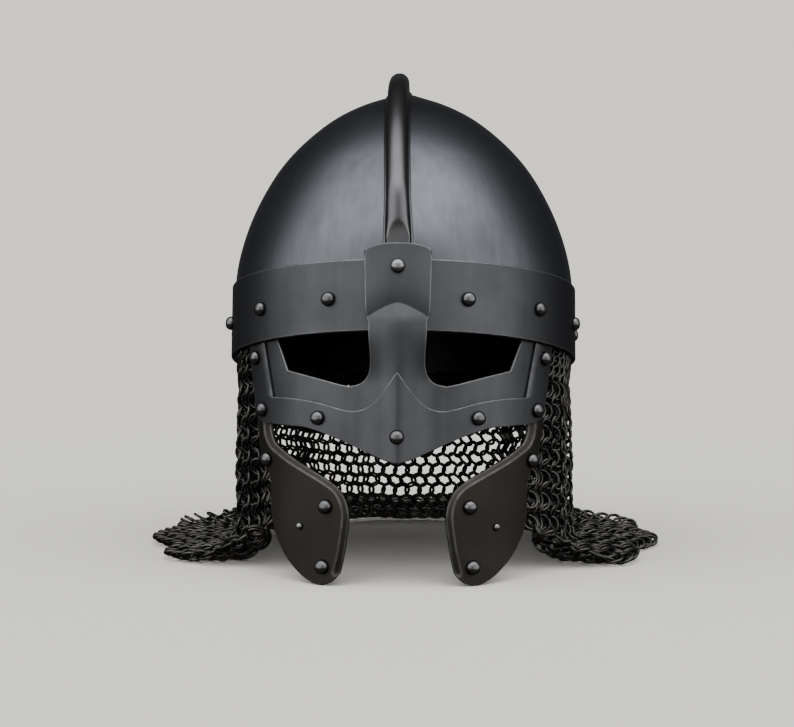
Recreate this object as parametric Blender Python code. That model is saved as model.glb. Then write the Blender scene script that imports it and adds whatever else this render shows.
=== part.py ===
"""Combed helmet with a riveted face guard, cheek plates and a mail neck curtain.

Metres, +Z up. The wearer looks along -Y, with their left side at +X. The rigid pieces are drawn upright
in the helmet's own frame, whose origin is the centre of the bowl's rim, and all hang from one empty that
leans the helmet back until it stands on the toes of its cheek plates. The mail hangs straight down from
the rim and spreads over the ground. Outlines of the face plates are drawn as seen from the front: the
first number of a row is a share of a half width, the second a share of a depth below the rim.
"""

from math import asin, ceil, cos, pi, radians, sin, tau

import bmesh
import bpy
from mathutils import Matrix, Vector
from mathutils.bvhtree import BVHTree

# Fits
GAP = 0.0003

# Bowl
BOWL_HALF_WIDTH = 0.1064
BOWL_HALF_LENGTH = 0.1209
BOWL_HEIGHT = 0.1723
BOWL_WALL = 0.0016

# Brow band
BAND_THICKNESS = 0.0015
BAND_HEIGHT = 0.0440
BAND_FRONT_DIP = 0.0020

# Comb
COMB_HALF_WIDTH = 0.0062
COMB_FOOT_HALF_WIDTH = 0.0072
COMB_HEIGHT = 0.0130
COMB_FOOT_HEIGHT = 0.0042
COMB_RUN_OUT = 0.0340
COMB_WALL = 0.0012
COMB_FLANGE = 0.0017
COMB_CREST_WIDTH_SHARE = 1.1
COMB_CREST_HEIGHT_SHARE = 0.8

# Face guard
FACE_HALF_WIDTH = 0.0920
FACE_PLATE_THICKNESS = 0.0016
FACE_FRAME_THICKNESS = 0.0015
FACE_FRAME_DEPTH = 0.0775
EYE_DEPTH = 0.0312
TAB_HEIGHT = 0.0510
TAB_HALF_WIDTH = 0.0186
LEG_LAP = 0.0280
NOSE_RISE = 0.0075
NOSE_HALF_WIDTH = 0.0210
NOSE_TOP = 0.0120
TAB_BEND_START = 0.7
KEEL_RISE = 0.0012
KEEL_HALF_WIDTH = 0.0100

# Cheek plates
CHEEK_DEPTH = 0.1450
CHEEK_NARROWING = 0.0055
CHEEK_HALF_SPAN = FACE_HALF_WIDTH - CHEEK_NARROWING
CHEEK_THICKNESS = 0.0016
CHIN_TUCK_WIDTH = 0.0040
CHIN_TUCK_LENGTH = 0.0115
CHIN_TUCK_LIMIT = 1.1

# Rivets
RIVET_HEAD_RADIUS = 0.0040
RIVET_HEAD_HEIGHT = 0.0040
RIVET_SHANK_RADIUS = 0.0016
RIVET_TAIL_RADIUS = 0.0028
RIVET_TAIL_HEIGHT = 0.0010
RIVET_SHOULDER_RADIUS_SHARE = 0.80
RIVET_SHOULDER_HEIGHT_SHARE = 0.65
RIVET_HOLE_OVERRUN = 0.0040
NOSE_SEAT_SAG = 0.0007
SMALL_RIVET_SCALE = 0.5

# Mail curtain
MAIL_THICKNESS = 0.0032
MAIL_LENGTH = 0.1720
MAIL_LAP = 0.0080
MAIL_FRONT_ANGLE = radians(49)
MAIL_SIDE_ANGLE = radians(68)
MAIL_LEG_MARGIN = radians(2.5)
MAIL_LEG_EASE = radians(10)
MAIL_LEG_CLEARANCE = 0.0009
MAIL_FRONT_RISE = 0.0200
MAIL_FRONT_CURL = 0.0040
MAIL_BEND_RADIUS = 0.0100
MAIL_FOLD_DEPTH = 0.0034
MAIL_FOLD_COUNT = 15
MAIL_FOLD_SHARE_BACK = 0.35

# Stance
LEAN_BACK = radians(13)

# Crown profile: height share, width share
CROWN_PROFILE = (
    (0.000, 1.000),
    (0.270, 1.000),
    (0.370, 0.974),
    (0.480, 0.921),
    (0.580, 0.850),
    (0.680, 0.756),
    (0.770, 0.635),
    (0.860, 0.472),
    (0.920, 0.314),
    (0.960, 0.168),
    (0.988, 0.062),
    (1.000, 0.000),
)

# Tab above the rim: share of the tab's half width, share of its height
TAB_TOP = ((0.00, 1.000), (0.41, 0.996), (0.81, 0.961), (1.00, 0.918))
TAB_SIDE = ((1.00, 0.918), (0.96, 0.459), (0.86, 0.010))

# Eye opening below the rim: share of the face's half width, share of the eye's depth
EYE_INNER = ((0.174, 0.00), (0.167, 0.46), (0.170, 0.66))
EYE_CORNER = ((0.170, 0.66), (0.187, 0.81), (0.234, 0.95), (0.308, 1.00))
EYE_LOWER = ((0.308, 1.00), (0.396, 0.93), (0.587, 0.74), (0.712, 0.61))
EYE_OUTER = ((0.712, 0.61), (0.785, 0.00))

# Legs and hidden lower edge of the spectacle plate: shares of the face's half width and frame depth
LEG_INNER_TOP = 0.805
LEG_OUTER = ((0.983, 0.000), (0.946, 0.297), (0.924, 0.430))
PLATE_LOWER = (
    (0.924, 0.430),
    (0.832, 0.452),
    (0.804, 0.540),
    (0.696, 0.605),
    (0.511, 0.680),
    (0.392, 0.729),
    (0.196, 0.839),
    (0.000, 0.930),
)

# Face frame: shares of the face's half width and frame depth
FRAME_INNER_LEG = ((0.884, 0.000), (0.818, 0.436))
FRAME_UPPER = (
    (0.818, 0.436),
    (0.674, 0.465),
    (0.511, 0.512),
    (0.364, 0.570),
    (0.280, 0.590),
    (0.203, 0.572),
    (0.130, 0.517),
    (0.065, 0.426),
    (0.000, 0.317),
)
FRAME_LOWER = (
    (0.000, 1.000),
    (0.082, 0.964),
    (0.196, 0.899),
    (0.392, 0.787),
    (0.576, 0.700),
    (0.696, 0.672),
    (0.848, 0.632),
    (0.911, 0.601),
)
FRAME_OUTER_LEG = ((0.911, 0.601), (0.939, 0.516), (0.965, 0.297), (0.997, 0.000))

# Cheek plate: shares of the cheeks' half span and cheek depth
CHEEK_OUTER = (
    (1.000, 0.254),
    (0.988, 0.315),
    (0.973, 0.399),
    (0.952, 0.469),
    (0.908, 0.525),
    (0.880, 0.575),
    (0.877, 0.669),
    (0.864, 0.741),
    (0.822, 0.817),
    (0.754, 0.890),
    (0.659, 0.955),
    (0.569, 0.991),
    (0.509, 1.000),
)
CHEEK_FRONT = (
    (0.509, 1.000),
    (0.439, 0.986),
    (0.393, 0.952),
    (0.361, 0.869),
    (0.335, 0.759),
    (0.335, 0.714),
    (0.358, 0.662),
    (0.407, 0.617),
    (0.492, 0.578),
    (0.601, 0.537),
    (0.727, 0.488),
    (0.821, 0.443),
    (0.875, 0.407),
    (0.902, 0.345),
    (0.890, 0.254),
)

# Rivets: band rivets by angle from the front, the others as shares in the plates' own units
BAND_RIVET_ANGLES = (22, 50, 78, 99, 130, 161)
BAND_RIVET_HEIGHT_SHARE = 0.443
LEG_RIVET_ANGLE = 50
TAB_RIVET_HEIGHT_SHARE = 0.727
FRAME_RIVETS = (("leg", 0.938, 0.112), ("corner", 0.885, 0.521), ("under_eye", 0.505, 0.630))
NOSE_RIVET_DEPTH_SHARE = 0.801
CHEEK_RIVETS = (("ear", 0.905, 0.483), ("front", 0.483, 0.690), ("toe", 0.503, 0.928))
CHEEK_SMALL_RIVET = (0.661, 0.764)

# Fineness of the facets
RIM_STEPS = 48
RUN_STEPS = 2
FACE_STRIP_ANGLE = radians(6)
FACE_STRIP_HEIGHT = 0.0145
COMB_ARC_STEPS = 6
COMB_APEX_STEPS = 3
COMB_FINE_ABOVE = 0.90
MAIL_COLUMNS = 46
MAIL_HANG_STEPS = 3
MAIL_BEND_STEPS = 3
MAIL_SPREAD_STEPS = 2
RIVET_SIDES = 7

# Derived offsets
BAND_INNER_OFFSET = GAP
BAND_OUTER_OFFSET = BAND_INNER_OFFSET + BAND_THICKNESS
PLATE_OUTER_OFFSET = -BOWL_WALL - GAP
FRAME_OUTER_OFFSET = PLATE_OUTER_OFFSET + GAP + FACE_FRAME_THICKNESS
FACET_SAG = BOWL_HALF_LENGTH * (1 - cos(pi / RIM_STEPS))


def clear_scene():
    for item in list(bpy.data.objects):
        bpy.data.objects.remove(item, do_unlink=True)


def make_material(name, colour, roughness, metallic):
    material = bpy.data.materials.new(name)
    material.use_nodes = True
    shader = material.node_tree.nodes["Principled BSDF"]
    shader.inputs["Base Color"].default_value = (*colour, 1.0)
    shader.inputs["Roughness"].default_value = roughness
    shader.inputs["Metallic"].default_value = metallic
    return material


def make_object(name, mesh, material, parent=None):
    item = bpy.data.objects.new(name, mesh)
    bpy.context.scene.collection.objects.link(item)
    item.data.materials.append(material)
    item.parent = parent
    return item


def mesh_from(name, points, faces):
    """Builds a mesh from points and faces and turns its faces outwards."""
    mesh = bpy.data.meshes.new(name)
    mesh.from_pydata([tuple(point) for point in points], [], faces)
    work = bmesh.new()
    work.from_mesh(mesh)
    bmesh.ops.remove_doubles(work, verts=work.verts, dist=1e-7)
    bmesh.ops.recalc_face_normals(work, faces=work.faces)
    if work.calc_volume(signed=True) < 0:
        bmesh.ops.reverse_faces(work, faces=work.faces)
    work.to_mesh(mesh)
    work.free()
    return mesh


def shade_round(item, angle):
    item.data.shade_smooth()
    item.data.set_sharp_from_angle(angle=angle)


def smooth_run(points, steps):
    """Points along a smooth curve through the given ones, with both ends kept."""
    run = [Vector(point) for point in points]
    if len(run) < 3 or steps < 2:
        return run
    ends = [2 * run[0] - run[1]] + run + [2 * run[-1] - run[-2]]
    curve = []
    for before, start, end, after in zip(ends, ends[1:], ends[2:], ends[3:]):
        for step in range(steps):
            t = step / steps
            slope_in = (end - before) / 2
            slope_out = (after - start) / 2
            curve.append(
                start * (2 * t**3 - 3 * t**2 + 1)
                + slope_in * (t**3 - 2 * t**2 + t)
                + end * (3 * t**2 - 2 * t**3)
                + slope_out * (t**3 - t**2)
            )
    return curve + [run[-1]]


def join_runs(*runs):
    """One outline from runs that meet at corners."""
    outline = []
    for run in runs:
        for point in smooth_run(run, RUN_STEPS):
            if not outline or (point - outline[-1]).length > 1e-6:
                outline.append(point)
    return outline


def in_sizes(table, width, depth):
    return [(side * width, -down * depth) for side, down in table]


# Bowl

def ring_point(angle, half_width, half_length, height):
    """Point on a level ellipse, with its angle counted from the front towards +X."""
    return Vector((half_width * sin(angle), -half_length * cos(angle), height))


def ring_normal(angle, half_width, half_length):
    return Vector((sin(angle) / half_width, -cos(angle) / half_length, 0)).normalized()


def crown_rings(inset):
    """Rings from the rim up to just under the apex, moved in by the inset."""
    rings = []
    for height_share, width_share in CROWN_PROFILE[:-1]:
        height = (BOWL_HEIGHT - inset) * height_share
        half_width = (BOWL_HALF_WIDTH - inset) * width_share
        half_length = (BOWL_HALF_LENGTH - inset) * width_share
        angles = [tau * step / RIM_STEPS for step in range(RIM_STEPS)]
        rings.append([ring_point(angle, half_width, half_length, height) for angle in angles])
    return rings


def make_bowl(material, frame):
    """One raised shell: outer and inner skins joined at the rim."""
    points = []
    faces = []
    ring_starts = []
    for inset in (0.0, BOWL_WALL):
        starts = []
        for ring in crown_rings(inset):
            starts.append(len(points))
            points.extend(ring)
        apex = len(points)
        points.append(Vector((0, 0, BOWL_HEIGHT - inset)))
        for low, high in zip(starts, starts[1:]):
            for step in range(RIM_STEPS):
                after = (step + 1) % RIM_STEPS
                faces.append((low + step, low + after, high + after, high + step))
        for step in range(RIM_STEPS):
            after = (step + 1) % RIM_STEPS
            faces.append((starts[-1] + step, starts[-1] + after, apex))
        ring_starts.append(starts[0])
    outer, inner = ring_starts
    for step in range(RIM_STEPS):
        after = (step + 1) % RIM_STEPS
        faces.append((outer + step, outer + after, inner + after, inner + step))
    bowl = make_object("bowl", mesh_from("bowl", points, faces), material, frame)
    shade_round(bowl, radians(40))
    return bowl


# Brow band

def band_top(angle):
    return BAND_HEIGHT - BAND_FRONT_DIP * max(cos(angle), 0.0) ** 2


def make_brow_band(material, frame):
    points = []
    faces = []
    for step in range(RIM_STEPS):
        angle = tau * step / RIM_STEPS
        for offset in (BAND_INNER_OFFSET, BAND_OUTER_OFFSET):
            half_width = BOWL_HALF_WIDTH + offset
            half_length = BOWL_HALF_LENGTH + offset
            points.append(ring_point(angle, half_width, half_length, 0))
            points.append(ring_point(angle, half_width, half_length, band_top(angle)))
    for step in range(RIM_STEPS):
        here = 4 * step
        there = 4 * ((step + 1) % RIM_STEPS)
        for low, high in ((0, 1), (1, 3), (3, 2), (2, 0)):
            faces.append((here + low, there + low, there + high, here + high))
    band = make_object("brow_band", mesh_from("brow_band", points, faces), material, frame)
    shade_round(band, radians(40))
    return band


# Comb

def crown_path():
    """Middle line of the bowl's outside from the tab over the top to the band, as reach and height."""
    rise = [(-BOWL_HALF_LENGTH * width, BOWL_HEIGHT * height) for height, width in CROWN_PROFILE]
    line = rise + [(-reach, height) for reach, height in reversed(rise[:-1])]
    front_foot = TAB_HEIGHT + GAP
    back_foot = BAND_HEIGHT + GAP
    front = [row for row in line if row[0] < 0 and row[1] > front_foot]
    back = [row for row in line if row[0] >= 0 and row[1] > back_foot]
    path = [crown_at(line, front_foot, -1)] + front + back + [crown_at(line, back_foot, 1)]
    stations = [Vector((0, *path[0]))]
    for start, end in zip(path, path[1:]):
        near_apex = max(start[1], end[1]) > COMB_FINE_ABOVE * BOWL_HEIGHT
        steps = COMB_APEX_STEPS if near_apex else 1
        for step in range(1, steps + 1):
            stations.append(Vector((0, *start)).lerp(Vector((0, *end)), step / steps))
    return stations


def crown_at(line, height, side):
    """Point of the bowl's middle line at a height, on the front (-1) or back (1)."""
    half = [row for row in line if row[0] * side > 0]
    half.sort(key=lambda row: row[1])
    low = max((row for row in half if row[1] <= height), key=lambda row: row[1])
    high = min((row for row in half if row[1] > height), key=lambda row: row[1])
    share = (height - low[1]) / (high[1] - low[1])
    return (low[0] + (high[0] - low[0]) * share, height)


def comb_section(half_width, height):
    """Closed outline of the folded strip: flanges, walls and round crest, outside then inside."""
    crest = min(COMB_CREST_WIDTH_SHARE * half_width, COMB_CREST_HEIGHT_SHARE * height)
    flange = half_width + COMB_FLANGE
    outside = [(flange, 0), (flange, COMB_WALL), (half_width, COMB_WALL)]
    for step in range(COMB_ARC_STEPS + 1):
        angle = pi * step / COMB_ARC_STEPS
        outside.append((half_width * cos(angle), height - crest + crest * sin(angle)))
    outside += [(-x, y) for x, y in reversed(outside[:3])]
    inside = [(-half_width + COMB_WALL, 0)]
    for step in range(COMB_ARC_STEPS, -1, -COMB_ARC_STEPS // 2):
        angle = pi * step / COMB_ARC_STEPS
        inner_crest = height - crest + (crest - COMB_WALL) * sin(angle)
        inside.append(((half_width - COMB_WALL) * cos(angle), inner_crest))
    inside.append((half_width - COMB_WALL, 0))
    return outside + inside


def make_comb(material, frame, bowl):
    """Strip folded to a channel that follows the bowl's middle line and dies into both feet."""
    tree = BVHTree.FromPolygons(
        [vertex.co.copy() for vertex in bowl.data.vertices],
        [tuple(face.vertices) for face in bowl.data.polygons],
    )
    path = crown_path()
    lengths = [0.0]
    for start, end in zip(path, path[1:]):
        lengths.append(lengths[-1] + (end - start).length)
    points = []
    for index, place in enumerate(path):
        before = path[max(index - 1, 0)]
        after = path[min(index + 1, len(path) - 1)]
        along = (after - before).normalized()
        if index in (0, len(path) - 1):
            outward = Vector((0, place.y, 0)).normalized()
        else:
            outward = Vector((1, 0, 0)).cross(along).normalized()
            outward = outward if outward.dot(place) > 0 else -outward
        from_foot = min(lengths[index], lengths[-1] - lengths[index])
        share = min(from_foot / COMB_RUN_OUT, 1.0)
        ease = share * share * (3 - 2 * share)
        height = COMB_FOOT_HEIGHT + (COMB_HEIGHT - COMB_FOOT_HEIGHT) * ease
        half_width = COMB_FOOT_HALF_WIDTH + (COMB_HALF_WIDTH - COMB_FOOT_HALF_WIDTH) * ease
        for x, rise in comb_section(half_width, height):
            reach = COMB_HEIGHT
            start = place + outward * reach + Vector((x, 0, 0))
            hit = tree.ray_cast(start, -outward)[0]
            drop = (start - hit).length - reach if hit and rise <= COMB_WALL else 0.0
            points.append(place + Vector((x, 0, 0)) + outward * (rise + GAP - drop))
    count = len(points) // len(path)
    faces = []
    for row in range(len(path) - 1):
        for step in range(count):
            after = (step + 1) % count
            low = row * count
            faces.append((low + step, low + after, low + count + after, low + count + step))
    last = (len(path) - 1) * count
    faces.append(tuple(range(count)))
    faces.append(tuple(range(last, last + count)))
    comb = make_object("comb", mesh_from("comb", points, faces), material, frame)
    shade_round(comb, radians(50))
    return comb


# Face surface

def chin_tuck(z):
    return min(max(-z / CHEEK_DEPTH, 0.0), CHIN_TUCK_LIMIT)


def smooth_step(low, high, value):
    share = min(max((value - low) / (high - low), 0.0), 1.0)
    return share * share * (3 - 2 * share)


def nose_form(x, z):
    """How far the plates stand out over the nose and, for the tab, over the band."""
    rise = NOSE_RISE * (1 - smooth_step(-EYE_DEPTH, NOSE_TOP, z))
    bulge = rise * (1 - smooth_step(0.0, NOSE_HALF_WIDTH, abs(x)))
    over_band = BAND_OUTER_OFFSET + GAP + FACE_PLATE_THICKNESS - PLATE_OUTER_OFFSET
    lift = over_band * smooth_step(-EYE_DEPTH * TAB_BEND_START, -GAP, z)
    return bulge + (lift if abs(x) < TAB_HALF_WIDTH + GAP else 0.0)


def face_place(x, z, offset):
    """Point and outward direction on the face surface, seen from the front at x and height z."""
    half_width = BOWL_HALF_WIDTH + offset - CHIN_TUCK_WIDTH * chin_tuck(z)
    half_length = BOWL_HALF_LENGTH + offset - CHIN_TUCK_LENGTH * chin_tuck(z)
    angle = asin(max(min(x / half_width, 1.0), -1.0))
    outward = ring_normal(angle, half_width, half_length)
    place = ring_point(angle, half_width, half_length, z) + outward * nose_form(x, z)
    return place, outward


def face_cuts(sides, heights, offset):
    """Planes that all plates share, so that the facets of stacked plates stay side by side."""
    half_width = BOWL_HALF_WIDTH + offset
    reach = asin(min(max(sides) / half_width, 1.0))
    back = asin(max(min(sides) / half_width, -1.0))
    nose = asin(NOSE_HALF_WIDTH / half_width)
    angles = between(back, reach, FACE_STRIP_ANGLE)
    angles += between(max(back, -nose), min(reach, nose), FACE_STRIP_ANGLE / 2)
    across = [half_width * sin(angle) for angle in angles]
    cuts = [(Vector((x, 0, 0)), Vector((1, 0, 0))) for x in across]
    levels = between(min(heights), max(heights), FACE_STRIP_HEIGHT)
    return cuts + [(Vector((0, 0, z)), Vector((0, 0, 1))) for z in levels]


def between(low, high, pitch):
    """Whole multiples of a pitch that lie inside a range."""
    return [pitch * number for number in range(ceil(low / pitch + 0.05), ceil(high / pitch - 0.05))]


def make_plate(name, outline, offset, thickness, material, frame, rise=None):
    """Sheet with a flat outline, cut into strips, laid on the face surface and given its thickness."""
    work = bmesh.new()
    work.faces.new([work.verts.new((x, 0, z)) for x, z in outline])
    sides = [x for x, z in outline]
    heights = [z for x, z in outline]
    for place, normal in face_cuts(sides, heights, offset):
        geometry = work.verts[:] + work.edges[:] + work.faces[:]
        bmesh.ops.bisect_plane(work, geom=geometry, plane_co=place, plane_no=normal, dist=1e-6)
    bmesh.ops.triangulate(work, faces=work.faces[:])
    work.verts.index_update()
    flat = [vertex.co.copy() for vertex in work.verts]
    tops = [tuple(vertex.index for vertex in face.verts) for face in work.faces]
    rims = [
        tuple(vertex.index for vertex in edge.verts) for edge in work.edges if len(edge.link_faces) == 1
    ]
    work.free()
    points = []
    for depth in (0.0, thickness):
        for spot in flat:
            place, outward = face_place(spot.x, spot.z, offset)
            extra = rise(spot.x, spot.z) if rise else 0.0
            points.append(place + outward * (extra - depth))
    count = len(flat)
    faces = list(tops)
    faces += [tuple(count + index for index in reversed(top)) for top in tops]
    faces += [(start, end, count + end, count + start) for start, end in rims]
    plate = make_object(name, mesh_from(name, points, faces), material, frame)
    shade_round(plate, radians(35))
    return plate


def both_sides(half):
    """Full outline from its +X half, which starts and ends on the middle line."""
    return half + [Vector((-point[0], point[1])) for point in reversed(half) if abs(point[0]) > 1e-6]


# Spectacle plate

def make_spectacle_plate(material, frame):
    """Tab over the band, nasal, under-eye bars and two legs that run up inside the bowl."""
    tab_top = [(side * TAB_HALF_WIDTH, up * TAB_HEIGHT) for side, up in TAB_TOP]
    tab_side = [(side * TAB_HALF_WIDTH, up * TAB_HEIGHT) for side, up in TAB_SIDE]
    leg_outer = in_sizes(LEG_OUTER, FACE_HALF_WIDTH, FACE_FRAME_DEPTH)
    leg_top = [(LEG_INNER_TOP * FACE_HALF_WIDTH, LEG_LAP), (leg_outer[0][0], LEG_LAP)]
    half = join_runs(
        tab_top,
        tab_side,
        in_sizes(EYE_INNER, FACE_HALF_WIDTH, EYE_DEPTH),
        in_sizes(EYE_CORNER, FACE_HALF_WIDTH, EYE_DEPTH),
        in_sizes(EYE_LOWER, FACE_HALF_WIDTH, EYE_DEPTH),
        in_sizes(EYE_OUTER, FACE_HALF_WIDTH, EYE_DEPTH),
        leg_top,
        leg_outer,
        in_sizes(PLATE_LOWER, FACE_HALF_WIDTH, FACE_FRAME_DEPTH),
    )
    outline = both_sides(half)
    return make_plate(
        "spectacle_plate", outline, PLATE_OUTER_OFFSET, FACE_PLATE_THICKNESS, material, frame
    )


# Face frame

def keel(x, z):
    """Low crease down the middle of the face frame."""
    return KEEL_RISE * max(1 - abs(x) / KEEL_HALF_WIDTH, 0.0)


def make_face_frame(material, frame):
    """Strip riveted over the spectacle plate, from the rim down and under the nose."""
    upper = in_sizes(FRAME_UPPER, FACE_HALF_WIDTH, FACE_FRAME_DEPTH)
    inner_leg = in_sizes(FRAME_INNER_LEG, FACE_HALF_WIDTH, FACE_FRAME_DEPTH)
    outer_leg = in_sizes(FRAME_OUTER_LEG, FACE_HALF_WIDTH, FACE_FRAME_DEPTH)
    inner_leg[0] = (inner_leg[0][0], -GAP)
    outer_leg[-1] = (outer_leg[-1][0], -GAP)
    half = join_runs(
        in_sizes(FRAME_LOWER, FACE_HALF_WIDTH, FACE_FRAME_DEPTH), outer_leg, inner_leg, upper
    )
    outline = both_sides(half)
    return make_plate(
        "face_frame", outline, FRAME_OUTER_OFFSET, FACE_FRAME_THICKNESS, material, frame, keel
    )


# Cheek plates

def cheek_outline(side):
    half = join_runs(
        in_sizes(CHEEK_OUTER, CHEEK_HALF_SPAN, CHEEK_DEPTH),
        in_sizes(CHEEK_FRONT, CHEEK_HALF_SPAN, CHEEK_DEPTH),
    )
    return [Vector((side * point[0], point[1])) for point in half]


def make_cheek_plate(name, side, material, frame):
    return make_plate(
        name, cheek_outline(side), PLATE_OUTER_OFFSET, CHEEK_THICKNESS, material, frame
    )


def stance_height():
    """Height of the rim's centre that puts the toes of the cheek plates on the ground."""
    lowest = 0.0
    for x, z in cheek_outline(1):
        place, outward = face_place(x, z, PLATE_OUTER_OFFSET)
        for depth in (0.0, CHEEK_THICKNESS):
            point = place - outward * depth
            lowest = min(lowest, point.z * cos(LEAN_BACK) - point.y * sin(LEAN_BACK))
    return -lowest


# Rivets

def rivet_mesh(scale, grip):
    """Turned rivet: domed head above the seat, shank through the plates and a peened tail."""
    head = RIVET_HEAD_RADIUS * scale
    rise = RIVET_HEAD_HEIGHT * scale
    shank = RIVET_SHANK_RADIUS * scale
    tail = RIVET_TAIL_RADIUS * scale
    seat = -grip - GAP
    end = seat - RIVET_TAIL_HEIGHT * scale
    rings = (
        (tail, end),
        (tail, seat),
        (shank, seat),
        (shank, GAP),
        (head, GAP),
        (head * RIVET_SHOULDER_RADIUS_SHARE, GAP + rise * RIVET_SHOULDER_HEIGHT_SHARE),
    )
    points = [Vector((0, 0, end))]
    for radius, height in rings:
        for step in range(RIVET_SIDES):
            angle = tau * step / RIVET_SIDES
            points.append(Vector((radius * cos(angle), radius * sin(angle), height)))
    points.append(Vector((0, 0, GAP + rise)))
    faces = []
    for step in range(RIVET_SIDES):
        after = (step + 1) % RIVET_SIDES
        faces.append((0, 1 + after, 1 + step))
        for ring in range(len(rings) - 1):
            low = 1 + ring * RIVET_SIDES
            high = low + RIVET_SIDES
            faces.append((low + step, low + after, high + after, high + step))
        last = 1 + (len(rings) - 1) * RIVET_SIDES
        faces.append((last + step, last + after, len(points) - 1))
    return mesh_from("rivet", points, faces)


def make_rivet(name, place, outward, grip, scale, material, frame, drilled):
    """Sets one rivet on its seat and drills its hole through the plates that it grips."""
    turn = outward.to_track_quat("Z", "Y")
    rivet = make_object(name, rivet_mesh(scale, grip), material, frame)
    rivet.location = place
    rivet.rotation_mode = "QUATERNION"
    rivet.rotation_quaternion = turn
    shade_round(rivet, radians(50))
    radius = RIVET_SHANK_RADIUS * scale + GAP
    for plate in drilled:
        plate.setdefault("holes", []).append((place.copy(), turn, radius, grip))


def drill(plate, frame):
    """Cuts all of a plate's rivet holes with one set of pins."""
    work = bmesh.new()
    for place, turn, radius, grip in plate["holes"]:
        reach = grip + RIVET_HOLE_OVERRUN
        middle = Matrix.Translation(Vector((0, 0, -grip / 2)))
        matrix = Matrix.Translation(place) @ turn.to_matrix().to_4x4() @ middle
        bmesh.ops.create_cone(
            work, cap_ends=True, segments=RIVET_SIDES, radius1=radius / cos(pi / RIVET_SIDES),
            radius2=radius / cos(pi / RIVET_SIDES), depth=reach, matrix=matrix,
        )
    mesh = bpy.data.meshes.new("pins")
    work.to_mesh(mesh)
    work.free()
    item = plate["item"]
    cutter = bpy.data.objects.new(item.name + "_pins", mesh)
    bpy.context.scene.collection.objects.link(cutter)
    cutter.parent = frame
    cutter.hide_render = True
    cutter.display_type = "WIRE"
    cut = item.modifiers.new("rivet holes", "BOOLEAN")
    cut.operation = "DIFFERENCE"
    cut.solver = "EXACT"
    cut.object = cutter


def add_rivets(material, bright, frame, plates):
    band, bowl, spectacles, face_frame = (
        plates[name] for name in ("brow_band", "bowl", "spectacle_plate", "face_frame")
    )
    height = BAND_RIVET_HEIGHT_SHARE * BAND_HEIGHT
    bowl_grip = BAND_THICKNESS + GAP + BOWL_WALL + FACET_SAG
    leg_grip = bowl_grip + GAP + FACE_PLATE_THICKNESS
    for side, hand in ((1, "left"), (-1, "right")):
        for number, degrees in enumerate(BAND_RIVET_ANGLES, 1):
            half_width = BOWL_HALF_WIDTH + BAND_OUTER_OFFSET
            half_length = BOWL_HALF_LENGTH + BAND_OUTER_OFFSET
            angle = side * radians(degrees)
            place = ring_point(angle, half_width, half_length, height)
            outward = ring_normal(angle, half_width, half_length)
            on_leg = degrees == LEG_RIVET_ANGLE
            make_rivet(
                f"band_rivet_{hand}_{number}", place, outward, leg_grip if on_leg else bowl_grip,
                1.0, material, frame, [band, bowl] + ([spectacles] if on_leg else []),
            )
        cheek = plates[f"cheek_plate_{hand}"]
        for label, across, down in FRAME_RIVETS:
            x = side * across * FACE_HALF_WIDTH
            z = -down * FACE_FRAME_DEPTH
            place, outward = face_place(x, z, FRAME_OUTER_OFFSET)
            under = cheek if label == "corner" else spectacles
            grip = FACE_FRAME_THICKNESS + GAP + FACE_PLATE_THICKNESS
            make_rivet(
                f"frame_rivet_{hand}_{label}", place, outward, grip, 1.0, material, frame,
                [face_frame, under],
            )
        for label, across, down in CHEEK_RIVETS:
            place, outward = face_place(
                side * across * CHEEK_HALF_SPAN, -down * CHEEK_DEPTH, PLATE_OUTER_OFFSET
            )
            make_rivet(
                f"cheek_rivet_{hand}_{label}", place, outward, CHEEK_THICKNESS, 1.0, material,
                frame, [cheek],
            )
        across, down = CHEEK_SMALL_RIVET
        place, outward = face_place(
            side * across * CHEEK_HALF_SPAN, -down * CHEEK_DEPTH, PLATE_OUTER_OFFSET
        )
        make_rivet(
            f"cheek_rivet_{hand}_small", place, outward, CHEEK_THICKNESS, SMALL_RIVET_SCALE,
            bright, frame, [cheek],
        )
    place, outward = face_place(0, TAB_RIVET_HEIGHT_SHARE * TAB_HEIGHT, PLATE_OUTER_OFFSET)
    tab_grip = bowl_grip + GAP + FACE_PLATE_THICKNESS
    make_rivet(
        "tab_rivet", place, outward, tab_grip, 1.0, bright, frame, [spectacles, band, bowl]
    )
    place, outward = face_place(0, -NOSE_RIVET_DEPTH_SHARE * FACE_FRAME_DEPTH, FRAME_OUTER_OFFSET)
    place += outward * keel(0, 0)
    nose_grip = FACE_FRAME_THICKNESS + GAP + FACE_PLATE_THICKNESS + keel(0, 0) + NOSE_SEAT_SAG
    make_rivet("nose_rivet", place, outward, nose_grip, 1.0, bright, frame, [face_frame, spectacles])


# Mail curtain

def mail_forward(angle):
    """1 at the mail's front edges, 0 from the temples round the back."""
    from_front = min(angle, tau - angle)
    return 1 - smooth_step(MAIL_FRONT_ANGLE, MAIL_SIDE_ANGLE, from_front)


def mail_inset(angle):
    """Depth of the mail's middle behind the bowl's outside, deeper beside the face guard's legs."""
    leg_edge = LEG_OUTER[0][0] * FACE_HALF_WIDTH / (BOWL_HALF_WIDTH + PLATE_OUTER_OFFSET)
    leg_angle = asin(min(leg_edge, 1.0)) + MAIL_LEG_MARGIN
    from_front = min(angle, tau - angle)
    beside_leg = 1 - smooth_step(leg_angle, leg_angle + MAIL_LEG_EASE, from_front)
    behind_leg = FACE_PLATE_THICKNESS + RIVET_TAIL_HEIGHT + MAIL_LEG_CLEARANCE
    return BOWL_WALL + GAP + MAIL_THICKNESS / 2 + FACET_SAG + behind_leg * beside_leg


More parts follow.
